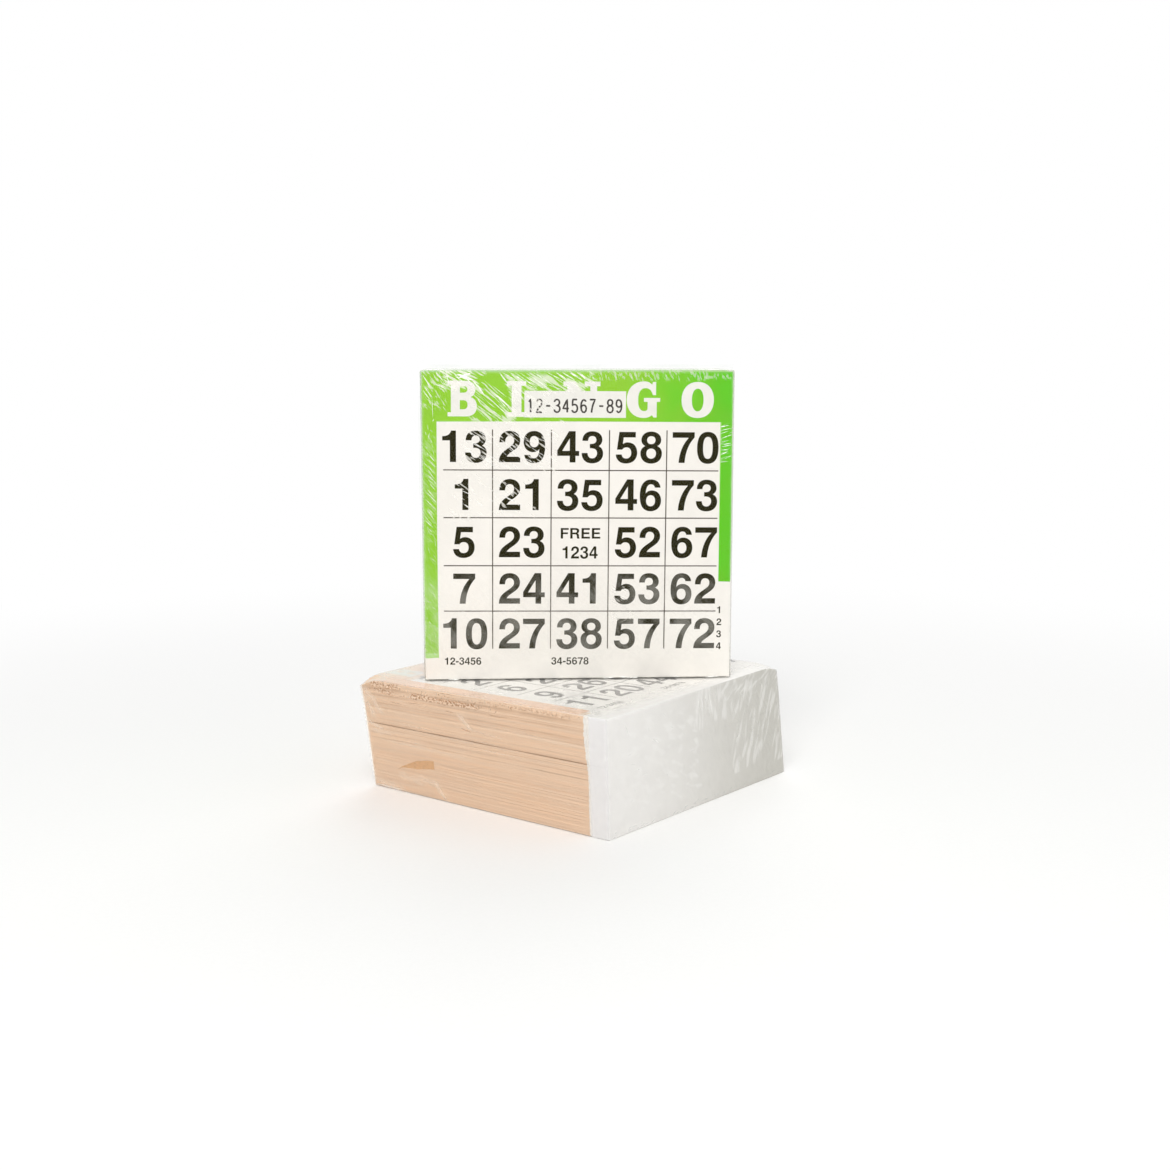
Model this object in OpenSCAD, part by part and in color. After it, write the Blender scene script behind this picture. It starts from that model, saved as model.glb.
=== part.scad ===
// Bingo card packs: one film-wrapped pack lies flat and a second stands on it.
// Millimetres, +Z up. The origin is the middle of the lower pack's resting face,
// and the standing pack's printed face looks towards -Y.

/* [Cards] */
// Card size, left to right
card_w = 101.6; // [80:0.2:130]
// Card size, bottom to top
card_h = 101.6; // [80:0.2:130]
// Thickness of one card
card_t = 0.074; // [0.06:0.002:0.12]
// Air between one card and the next
card_air = 0.005; // [0.003:0.001:0.01]
// Cards in the lift behind the face card
face_lift_cards = 48; // [20:1:80]
// Cards in each of the other lifts
lift_cards = 75; // [40:1:90]

/* [Stacking] */
// Most that one card strays sideways in its lift
card_stray = 0.06; // [0:0.01:0.12]
// Most that one lift strays sideways in its pack
lift_stray = 0.1; // [0:0.05:0.3]
// Air over the lift where the stack has parted most
parting_air = 0.2; // [0.05:0.05:0.6]
// How far the lower pack's face has slipped along the card width
slip_x = -8; // [-12:0.5:12]
// How far the lower pack's face has slipped along the card height
slip_y = -2; // [-6:0.5:6]
// How far the lower pack's face has turned against its back, in degrees
slip_turn = 2; // [-4:0.5:4]

/* [Film] */
// Film thickness
film_t = 0.05; // [0.03:0.01:0.15]
// Space between the film and the card edges
edge_slack = 0.5; // [0.45:0.05:1]
// Space between the film and the face and back cards
face_slack = 0.1; // [0.05:0.05:0.3]
// Outer radius of the film where it turns an edge
film_r = 0.6; // [0.4:0.05:0.8]
// How far the trim seal stands out of the film
seal_w = 1.6; // [0.4:0.1:2.4]
// Height of the trim seal in the pack, as a share of its thickness
seal_level = 0.61; // [0.3:0.01:0.7]

/* [Placing] */
// Angle of the lower pack's card width from +X, in degrees
lower_turn = 48.7; // [0:0.1:90]
// Middle of the standing pack, left to right
upright_x = -2.4; // [-10:0.2:10]
// Middle of the standing pack, front to back
upright_y = -1.3; // [-10:0.1:10]
// Space between the two films
rest_air = 0.05; // [0.02:0.01:0.2]

/* [Hidden] */
lift_count = 7;
film_segments = 16;
stray_seed = 71;
parting_lift = 5;
parting_spread = 0.85;
card_pitch = card_t + card_air;
face_card = lift_cards * (lift_count - 1) + face_lift_cards + 1;
stack_t = card_level(face_card) + card_t;
film_w = card_w + 2 * (edge_slack + film_t);
film_h = card_h + 2 * (edge_slack + film_t);
pack_t = stack_t + 2 * (face_slack + film_t);
lower_slip = [slip_x, slip_y, slip_turn];
no_slip = [0, 0, 0];
card_seeds = rands(-1, 1, 2 * (face_card + 1), stray_seed);
lift_seeds = rands(-1, 1, 2 * (lift_count + 2), stray_seed + 1);

// Cards are numbered from 0, the back card, to face_card. Lifts are numbered from the back too.
function first_card(lift) = 1 + (lift - 1) * lift_cards;
function last_card(lift) = lift == lift_count ? face_card - 1 : lift * lift_cards;
function lift_of(card) =
  card == 0 ? 0 : card == face_card ? lift_count + 1 : min(lift_count, ceil(card / lift_cards));

// The stack parts most under parting_lift, and less under the lifts on both sides of it.
function parting(lift) = parting_air * exp(-pow((lift - parting_lift) / parting_spread, 2));
function partings(lift) = lift < 2 ? 0 : parting(lift) + partings(lift - 1);
function card_level(card) = card * card_pitch + partings(min(lift_of(card), lift_count));

function card_side(card, axis) =
  card_stray * card_seeds[2 * card + axis] + lift_stray * lift_seeds[2 * lift_of(card) + axis];

// Puts its children where a pack that has slipped holds them, at a share of its thickness.
module slipped(slip, share) {
  translate([slip.x * share, slip.y * share, 0]) rotate([0, 0, slip.z * share]) children();
}

// One card of a pack that lies on its back at z = 0.
module card(index, slip) {
  level = card_level(index);
  slipped(slip, level / stack_t)
    translate([
      card_side(index, 0) - card_w / 2,
      card_side(index, 1) - card_h / 2,
      film_t + face_slack + level
    ])
      cube([card_w, card_h, card_t]);
}

module lift(index, slip) {
  for (i = [first_card(index):last_card(index)]) card(i, slip);
}

// The space inside a skin of the given edge radius, drawn tight from the back to the face.
module film_space(slip, radius) {
  hull()
    for (share = [0, 1], side_x = [-1, 1], side_y = [-1, 1])
      slipped(slip, share)
        translate([
          side_x * (film_w / 2 - film_r),
          side_y * (film_h / 2 - film_r),
          share ? pack_t - film_r : film_r
        ])
          sphere(r = radius, $fn = film_segments);
}

// The trim seal runs along the left, top and right sides. The bottom side is the film's fold.
module trim_seal(slip) {
  slipped(slip, seal_level)
    translate([-film_w / 2 - seal_w, -film_h / 2 + film_r, pack_t * seal_level - film_t])
      cube([film_w + 2 * seal_w, film_h - film_r + seal_w, 2 * film_t]);
}

module film(slip) {
  difference() {
    union() {
      film_space(slip, film_r);
      trim_seal(slip);
    }
    film_space(slip, film_r - film_t);
  }
}

module lower_place() {
  rotate([0, 0, lower_turn]) children();
}

module upright_place() {
  translate([upright_x, upright_y + pack_t / 2, pack_t + rest_air + film_h / 2])
    rotate([90, 0, 0]) children();
}

module lower_film() color("white", 0.3) lower_place() film(lower_slip);
module lower_face_card() color("wheat") lower_place() card(face_card, lower_slip);
module lower_lift_1() color("ivory") lower_place() lift(1, lower_slip);
module lower_lift_2() color("wheat") lower_place() lift(2, lower_slip);
module lower_lift_3() color("ivory") lower_place() lift(3, lower_slip);
module lower_lift_4() color("wheat") lower_place() lift(4, lower_slip);
module lower_lift_5() color("ivory") lower_place() lift(5, lower_slip);
module lower_lift_6() color("wheat") lower_place() lift(6, lower_slip);
module lower_lift_7() color("ivory") lower_place() lift(7, lower_slip);
module lower_back_card() color("wheat") lower_place() card(0, lower_slip);

module upright_film() color("white", 0.3) upright_place() film(no_slip);
module upright_face_card() color("palegreen") upright_place() card(face_card, no_slip);
module upright_lift_1() color("ivory") upright_place() lift(1, no_slip);
module upright_lift_2() color("palegreen") upright_place() lift(2, no_slip);
module upright_lift_3() color("ivory") upright_place() lift(3, no_slip);
module upright_lift_4() color("palegreen") upright_place() lift(4, no_slip);
module upright_lift_5() color("ivory") upright_place() lift(5, no_slip);
module upright_lift_6() color("palegreen") upright_place() lift(6, no_slip);
module upright_lift_7() color("ivory") upright_place() lift(7, no_slip);
module upright_back_card() color("palegreen") upright_place() card(0, no_slip);

lower_film();
lower_face_card();
lower_lift_1();
lower_lift_2();
lower_lift_3();
lower_lift_4();
lower_lift_5();
lower_lift_6();
lower_lift_7();
lower_back_card();
upright_film();
upright_face_card();
upright_lift_1();
upright_lift_2();
upright_lift_3();
upright_lift_4();
upright_lift_5();
upright_lift_6();
upright_lift_7();
upright_back_card();
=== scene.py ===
"""Dresses the wrapped bingo card packs: printed faces, cut paper edges, creased film and a plain studio."""

import logging
import math
import random
from collections.abc import Iterator
from contextlib import contextmanager
from dataclasses import dataclass, field
from enum import Enum

import bpy
from mathutils import Matrix, Vector


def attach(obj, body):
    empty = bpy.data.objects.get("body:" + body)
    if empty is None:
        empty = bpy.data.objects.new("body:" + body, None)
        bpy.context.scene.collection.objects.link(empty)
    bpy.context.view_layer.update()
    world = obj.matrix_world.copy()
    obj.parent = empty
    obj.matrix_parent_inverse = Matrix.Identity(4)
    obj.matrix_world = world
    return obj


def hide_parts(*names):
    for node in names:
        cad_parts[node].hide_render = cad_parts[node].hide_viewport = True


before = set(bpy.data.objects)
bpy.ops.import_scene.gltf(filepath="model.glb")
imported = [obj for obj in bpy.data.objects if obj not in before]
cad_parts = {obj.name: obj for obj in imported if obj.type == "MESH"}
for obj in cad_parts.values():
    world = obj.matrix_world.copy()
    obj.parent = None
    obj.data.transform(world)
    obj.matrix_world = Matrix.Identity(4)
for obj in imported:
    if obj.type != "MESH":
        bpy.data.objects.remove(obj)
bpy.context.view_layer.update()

MM = 0.001
LOG = logging.getLogger("bingo_packs")
# Millimetres from the stack to the film, at the card edges and at the two faces.
EDGE_GAP = 0.55
FACE_GAP = 0.15
# Scale, detail and roughness of the paper's fibre.
FIBRE = (2600.0, 4.0, 0.65)

Colour = tuple[float, float, float, float]


def srgb(red: float, green: float, blue: float) -> Colour:
    """Turns a colour given as 0 to 255 on screen into a linear colour.

    Args:
        red: Red on screen.
        green: Green on screen.
        blue: Blue on screen.

    Returns:
        The linear colour with full alpha.
    """
    def linear(value: float) -> float:
        """Gives one channel's linear value."""
        share = value / 255
        return share / 12.92 if share <= 0.04045 else ((share + 0.055) / 1.055) ** 2.4

    return (linear(red), linear(green), linear(blue), 1.0)


class Wire:
    """A shader socket that takes part in Python sums."""

    def __init__(self, graph: "Graph", socket: bpy.types.NodeSocket) -> None:
        """Keeps the socket and the graph that it is in."""
        self.graph = graph
        self.socket = socket

    def math(self, operation: str, first: object, second: object = 0.0) -> "Wire":
        """Adds one Math node and gives its result."""
        made = self.graph.node("ShaderNodeMath", {"operation": operation}, {0: first, 1: second})
        return self.graph.wire(made, "Value")

    def __add__(self, other: object) -> "Wire":
        """Sum with a number or a wire."""
        return self.math("ADD", self, other)

    __radd__ = __add__

    def __sub__(self, other: object) -> "Wire":
        """Difference from a number or a wire."""
        return self.math("SUBTRACT", self, other)

    def __rsub__(self, other: object) -> "Wire":
        """A number less this wire."""
        return self.math("SUBTRACT", other, self)

    def __mul__(self, other: object) -> "Wire":
        """Product with a number or a wire."""
        return self.math("MULTIPLY", self, other)

    __rmul__ = __mul__

    def __truediv__(self, other: object) -> "Wire":
        """Quotient by a number or a wire."""
        return self.math("DIVIDE", self, other)

    def above(self, level: object) -> "Wire":
        """1 where the wire is over the level, 0 elsewhere."""
        return self.math("GREATER_THAN", self, level)

    def most(self, other: object) -> "Wire":
        """The larger of two values."""
        return self.math("MAXIMUM", self, other)

    def least(self, other: object) -> "Wire":
        """The smaller of two values."""
        return self.math("MINIMUM", self, other)

    def distance(self) -> "Wire":
        """The value without its sign."""
        return self.math("ABSOLUTE", self)

    def fall(self, low: float, high: float) -> "Wire":
        """A smooth change from 1 to 0 between two levels."""
        return self.ramp(low, high, 1.0, 0.0)

    def ramp(self, low: float, high: float, start: float = 0.0, end: float = 1.0) -> "Wire":
        """A smooth change between two levels.

        Args:
            low: Level where the change starts.
            high: Level where it ends.
            start: Result at and below low.
            end: Result at and above high.

        Returns:
            The eased value.
        """
        made = self.graph.node(
            "ShaderNodeMapRange",
            {"interpolation_type": "SMOOTHSTEP"},
            {"Value": self, "From Min": low, "From Max": high, "To Min": start, "To Max": end},
        )
        return self.graph.wire(made, "Result")


class Graph:
    """A node tree and the one way that nodes are put in it."""

    def __init__(self, owner: bpy.types.ID) -> None:
        """Empties a material's or a world's node tree.

        Args:
            owner: The material or the world.
        """
        self.owner = owner
        owner.use_nodes = True
        self.tree = owner.node_tree
        self.tree.nodes.clear()

    @classmethod
    def material(cls, name: str) -> "Graph":
        """Starts a new material."""
        return cls(bpy.data.materials.new(name))

    def node(self, kind: str, settings: dict | None = None, inputs: dict | None = None) -> bpy.types.Node:
        """Adds a node.

        Args:
            kind: The node's type.
            settings: Values of its properties, set first.
            inputs: Values, wires or sockets by socket name, identifier or index.

        Returns:
            The node.
        """
        made = self.tree.nodes.new(kind)
        for name, value in (settings or {}).items():
            setattr(made, name, value)
        for key, value in (inputs or {}).items():
            socket = made.inputs[key] if isinstance(key, int) else self._socket(made.inputs, key)
            if isinstance(value, Wire):
                self.tree.links.new(value.socket, socket)
            elif isinstance(value, bpy.types.NodeSocket):
                self.tree.links.new(value, socket)
            else:
                socket.default_value = value
        return made

    @staticmethod
    def _socket(sockets: object, key: str) -> bpy.types.NodeSocket:
        """Finds a socket by identifier, else by name."""
        for socket in sockets:
            if socket.identifier == key:
                return socket
        return sockets[key]

    def wire(self, made: bpy.types.Node, key: str) -> Wire:
        """Gives an output of a node as a wire."""
        return Wire(self, self._socket(made.outputs, key))

    def coordinates(self) -> Wire:
        """Gives the surface's place in the part's own frame, in metres."""
        return self.wire(self.node("ShaderNodeTexCoord"), "Object")

    def offset(self, place: Wire, origin: Vector) -> Wire:
        """Gives a place counted from an origin."""
        made = self.node("ShaderNodeVectorMath", {"operation": "SUBTRACT"}, {0: place, 1: tuple(origin)})
        return self.wire(made, "Vector")

    def along(self, place: Wire, axis: Vector) -> Wire:
        """Gives how far a place lies along an axis."""
        made = self.node("ShaderNodeVectorMath", {"operation": "DOT_PRODUCT"}, {0: place, 1: tuple(axis)})
        return self.wire(made, "Value")

    def join(self, x: object, y: object, z: object) -> Wire:
        """Puts three values into a vector."""
        return self.wire(self.node("ShaderNodeCombineXYZ", None, {"X": x, "Y": y, "Z": z}), "Vector")

    def noise(self, place: Wire, scale: float, detail: float = 2.0, rough: float = 0.5) -> Wire:
        """Gives a cloudy value around 0.5.

        Args:
            place: Where the pattern is read.
            scale: Clouds per unit of place.
            detail: Finer layers.
            rough: Strength of the finer layers.

        Returns:
            The value.
        """
        made = self.node(
            "ShaderNodeTexNoise", None, {"Vector": place, "Scale": scale, "Detail": detail, "Roughness": rough}
        )
        return self.wire(made, "Fac")

    def cloud(self, x: object, y: object, z: object, detail: float = 2.0, rough: float = 0.5) -> Wire:
        """Gives a cloudy value around 0.5 with clouds a unit wide.

        Args:
            x: First coordinate.
            y: Second coordinate.
            z: Third coordinate.
            detail: Finer layers.
            rough: Strength of the finer layers.

        Returns:
            The value.
        """
        return self.noise(self.join(x, y, z), 1.0, detail, rough)

    def coat(self, inputs: dict) -> bpy.types.Node:
        """Adds a Principled surface."""
        return self.node("ShaderNodeBsdfPrincipled", None, inputs)

    def layer(self, share: Wire, under: bpy.types.Node, over: bpy.types.Node) -> bpy.types.Node:
        """Lays a share of one surface over another."""
        return self.node("ShaderNodeMixShader", None, {0: share, 1: under.outputs[0], 2: over.outputs[0]})

    def blend(self, share: object, first: object, second: object, way: str = "MIX") -> Wire:
        """Mixes two colours.

        Args:
            share: How much of the second.
            first: First colour.
            second: Second colour.
            way: Blend type.

        Returns:
            The colour.
        """
        made = self.node(
            "ShaderNodeMix",
            {"data_type": "RGBA", "blend_type": way},
            {"Factor_Float": share, "A_Color": first, "B_Color": second},
        )
        return self.wire(made, "Result_Color")

    def grey(self, value: Wire) -> Wire:
        """Gives a value as a grey colour."""
        return self.wire(self.node("ShaderNodeCombineColor", None, {0: value, 1: value, 2: value}), "Color")

    def bump(self, height: Wire, depth: float, strength: float = 1.0) -> Wire:
        """Gives a normal that a height pattern tilts.

        Args:
            height: The pattern.
            depth: Metres that a step of 1 stands for.
            strength: Share of the effect.

        Returns:
            The normal.
        """
        made = self.node("ShaderNodeBump", None, {"Height": height, "Distance": depth, "Strength": strength})
        return self.wire(made, "Normal")

    def seen(self) -> Wire:
        """1 for what the eye meets straight, in a mirror or through glass, 0 for what lights the object."""
        path = self.node("ShaderNodeLightPath")
        direct = self.wire(path, "Is Camera Ray").most(self.wire(path, "Is Glossy Ray"))
        return direct.most(self.wire(path, "Is Transmission Ray"))

    def facing_light(self) -> Wire:
        """0 for light that passes on to what lies beneath, 1 for what is looked at."""
        path = self.node("ShaderNodeLightPath")
        return 1 - self.wire(path, "Is Shadow Ray").most(self.wire(path, "Is Diffuse Ray"))

    def outside(self) -> Wire:
        """1 on the outer face of a piece, 0 on its inner face."""
        return 1 - self.wire(self.node("ShaderNodeNewGeometry"), "Backfacing")

    def finish(self, surface: bpy.types.Node) -> bpy.types.ID:
        """Links a shader to the output and gives the material or world."""
        world = isinstance(self.owner, bpy.types.World)
        kind = "ShaderNodeOutputWorld" if world else "ShaderNodeOutputMaterial"
        self.node(kind, None, {"Surface": surface.outputs[0]})
        return self.owner


@dataclass(frozen=True)
class StackFrame:
    """Where a pack's stack lies: millimetres from the back card's lower left corner become metres in the part."""

    origin: Vector
    across: Vector
    up: Vector
    out: Vector
    width: float
    height: float
    depth: float
    slip: tuple[float, float]
    turn: float
    sags: tuple[tuple[float, float, float, float], ...] = ()
    sag_from: float = 28.0

    @staticmethod
    def corners(card: bpy.types.Object, across: Vector, up: Vector, out: Vector, front: bool) -> list[Vector]:
        """Finds a card's lower left, lower right and upper left corners.

        Args:
            card: The card's CAD object.
            across: Rough direction of its width.
            up: Rough direction of its height.
            out: Direction that its face looks.
            front: True for the face, False for the back.

        Returns:
            The three corners.
        """
        places = [v.co.copy() for v in card.data.vertices]
        reach = max(places, key=lambda p: p.dot(out) * (1 if front else -1)).dot(out)
        side = [p for p in places if abs(p.dot(out) - reach) < 0.02 * MM]
        return [
            min(side, key=lambda p: p.dot(across) + p.dot(up)),
            max(side, key=lambda p: p.dot(across) - p.dot(up)),
            max(side, key=lambda p: p.dot(up) - p.dot(across)),
        ]

    @classmethod
    def measure(cls, pack: str, across: Vector, up: Vector, sags: tuple = ()) -> "StackFrame":
        """Reads a pack's stack from its back card and its face card.

        Args:
            pack: The pack's name, as its nodes start.
            across: Rough direction of the card's width.
            up: Rough direction of the card's height.
            sags: Corners that the film has drawn down, each as place, reach and drop.

        Returns:
            The stack's frame.
        """
        out = across.cross(up).normalized()
        back = cls.corners(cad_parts[f"{pack}_back_card"], across, up, out, False)
        face = cls.corners(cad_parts[f"{pack}_face_card"], across, up, out, True)
        right = (back[1] - back[0]).normalized()
        top = (back[2] - back[0]).normalized()
        face_right = (face[1] - face[0]).normalized()
        middles = [(c[1] + c[2]) / 2 for c in (back, face)]
        moved = middles[1] - middles[0]
        return cls(
            origin=back[0],
            across=right,
            up=top,
            out=out,
            width=(back[1] - back[0]).length / MM,
            height=(back[2] - back[0]).length / MM,
            depth=moved.dot(out) / MM,
            slip=(moved.dot(right) / MM, moved.dot(top) / MM),
            turn=math.atan2(face_right.dot(top), face_right.dot(right)),
            sags=sags,
        )

    def sag(self, point: Vector) -> float:
        """Gives how far a point of the pack is drawn down.

        Args:
            point: Across, up and out from the back card's lower left corner.

        Returns:
            The drop in millimetres.
        """
        share = min(max(0.0, (point.z - self.sag_from) / (self.depth - self.sag_from)), 1.0)
        total = 0.0
        for x, y, reach, drop in self.sags:
            total += drop * max(0.0, 1 - math.hypot(point.x - x, point.y - y) / reach) ** 2
        return total * share ** 1.5

    def sag_cuts(self) -> list[tuple[Vector, Vector]]:
        """Gives the planes, in the pack's millimetres, that a piece is cut along so that it can sag."""
        cuts = []
        for x, y, reach, _ in self.sags:
            for share in (0.1, 0.25, 0.45, 0.7, 1.0):
                away = reach * share
                cuts.append((Vector((x + math.copysign(away, self.width / 2 - x), 0, 0)), Vector((1, 0, 0))))
                cuts.append((Vector((0, y + math.copysign(away, self.height / 2 - y), 0)), Vector((0, 1, 0))))
        return cuts

    def locate(self, spot: Vector) -> Vector:
        """Turns a place in the part into millimetres in the pack, with the slip taken out.

        Args:
            spot: The place in metres.

        Returns:
            Across, up and out from the back card's lower left corner.
        """
        away = (spot - self.origin) / MM
        level = away.dot(self.out)
        share = level / self.depth
        u = away.dot(self.across) - self.slip[0] * share - self.width / 2
        v = away.dot(self.up) - self.slip[1] * share - self.height / 2
        cos, sin = math.cos(self.turn * share), math.sin(self.turn * share)
        return Vector((u * cos + v * sin + self.width / 2, v * cos - u * sin + self.height / 2, level))

    def place(self, point: Vector) -> Vector:
        """Turns millimetres in the pack, slip and all, into a place in the part.

        Args:
            point: Across, up and out from the back card's lower left corner.

        Returns:
            The place in metres.
        """
        share = point.z / self.depth
        x, y = point.x - self.width / 2, point.y - self.height / 2
        cos, sin = math.cos(self.turn * share), math.sin(self.turn * share)
        u = self.width / 2 + x * cos - y * sin + self.slip[0] * share
        v = self.height / 2 + x * sin + y * cos + self.slip[1] * share
        return self.origin + (self.across * u + self.up * v + self.out * (point.z - self.sag(point))) * MM

    def settle(self, piece: bpy.types.Object) -> None:
        """Moves a piece that was modelled in the pack's millimetres to its place in the part."""
        piece.data.transform(piece.matrix_world)
        piece.matrix_world = Matrix.Identity(4)
        for vertex in piece.data.vertices:
            vertex.co = self.place(vertex.co)
        piece.data.update()


@dataclass(frozen=True)
class PackPlace:
    """A shaded point's place in a pack, in millimetres, with the stack's slip taken out."""

    across: Wire
    up: Wire
    level: Wire

    @classmethod
    def read(cls, g: Graph, s: StackFrame) -> "PackPlace":
        """Builds the nodes that find the place.

        Args:
            g: The material's graph.
            s: The pack's stack.

        Returns:
            The place.
        """
        place = g.offset(g.coordinates(), s.origin)
        level = g.along(place, s.out) / MM
        share = level / s.depth
        u = g.along(place, s.across) / MM - share * s.slip[0] - s.width / 2
        v = g.along(place, s.up) / MM - share * s.slip[1] - s.height / 2
        return cls(u + share * s.turn * v + s.width / 2, v - share * s.turn * u + s.height / 2, level)


class Bench:
    """Hand tools for modelling with operators."""

    @staticmethod
    def clear() -> None:
        """Leaves edit mode and deselects everything."""
        if bpy.context.object and bpy.context.object.mode != "OBJECT":
            bpy.ops.object.mode_set(mode="OBJECT")
        bpy.ops.object.select_all(action="DESELECT")

    @classmethod
    def take(cls, piece: bpy.types.Object) -> None:
        """Selects one piece alone."""
        cls.clear()
        piece.select_set(True)
        bpy.context.view_layer.objects.active = piece

    @classmethod
    @contextmanager
    def editing(cls, piece: bpy.types.Object) -> Iterator[None]:
        """Holds a piece in edit mode with everything selected."""
        cls.take(piece)
        bpy.ops.object.mode_set(mode="EDIT")
        bpy.ops.mesh.select_all(action="SELECT")
        yield
        bpy.ops.object.mode_set(mode="OBJECT")

    @classmethod
    def block(cls, low: Vector, high: Vector, name: str) -> bpy.types.Object:
        """Adds a block between two corners.

        Args:
            low: Lowest corner.
            high: Highest corner.
            name: The piece's name.

        Returns:
            The block, with its size in its mesh.
        """
        cls.clear()
        bpy.ops.mesh.primitive_cube_add(size=1, location=(low + high) / 2)
        made = bpy.context.object
        made.scale = high - low
        made.name = name
        bpy.ops.object.transform_apply(location=True, rotation=True, scale=True)
        return made

    @staticmethod
    def slice(low: Vector, high: Vector, cuts: tuple[int, int, int]) -> None:
        """Cuts the piece that is in edit mode into even slices.

        Args:
            low: Lowest corner.
            high: Highest corner.
            cuts: Slices along each axis.
        """
        for axis, count in enumerate(cuts):
            normal = Vector((0, 0, 0))
            normal[axis] = 1
            for cut in range(1, count):
                bpy.ops.mesh.select_all(action="SELECT")
                bpy.ops.mesh.bisect(plane_co=low.lerp(high, cut / count), plane_no=normal)

    @classmethod
    def crosscut(cls, piece: bpy.types.Object, cuts: list[tuple[Vector, Vector]]) -> None:
        """Cuts a piece's faces along planes.

        Args:
            piece: The piece.
            cuts: A point and a normal of each plane.
        """
        with cls.editing(piece):
            for point, normal in cuts:
                bpy.ops.mesh.select_all(action="SELECT")
                bpy.ops.mesh.bisect(plane_co=point, plane_no=normal)

    @classmethod
    def join(cls, pieces: list[bpy.types.Object], name: str) -> bpy.types.Object:
        """Joins pieces into one.

        Args:
            pieces: What is joined.
            name: Name of the result.

        Returns:
            The joined piece.
        """
        cls.take(pieces[0])
        for piece in pieces:
            piece.select_set(True)
        if len(pieces) > 1:
            bpy.ops.object.join()
        made = bpy.context.object
        made.name = name
        made.data.name = name
        return made

    @staticmethod
    def copy(model: bpy.types.Mesh, spot: Matrix) -> bpy.types.Object:
        """Puts down a copy of a mesh with its own data.

        Args:
            model: The mesh that is copied.
            spot: Where the copy goes.

        Returns:
            The copy.
        """
        mesh = model.copy()
        mesh.transform(spot)
        made = bpy.data.objects.new(model.name, mesh)
        bpy.context.scene.collection.objects.link(made)
        return made

    @classmethod
    def modify(cls, piece: bpy.types.Object, kind: str, **values: object) -> None:
        """Adds a modifier and applies it.

        Args:
            piece: The piece.
            kind: The modifier's type.
            **values: Its settings.
        """
        cls.take(piece)
        made = piece.modifiers.new(kind.lower(), kind)
        for name, value in values.items():
            setattr(made, name, value)
        bpy.ops.object.modifier_apply(modifier=made.name)

    @staticmethod
    def dress(piece: bpy.types.Object, material: bpy.types.Material) -> None:
        """Gives a piece one material."""
        piece.data.materials.clear()
        piece.data.materials.append(material)


class Side(Enum):
    """The six sides of a wrapped pack."""

    FACE = "face"
    BACK = "back"
    LEFT = "left"
    RIGHT = "right"
    HEAD = "head"
    FOOT = "foot"


class Tone(Enum):
    """How a crease of the film looks: the pale tones are painted highlights, the dark tone is painted shade."""

    BRIGHT = "creases"
    FAINT = "faint_creases"
    VEIL = "veil_creases"
    SOFT = "soft_creases"
    DEEP = "deep_creases"


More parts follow.
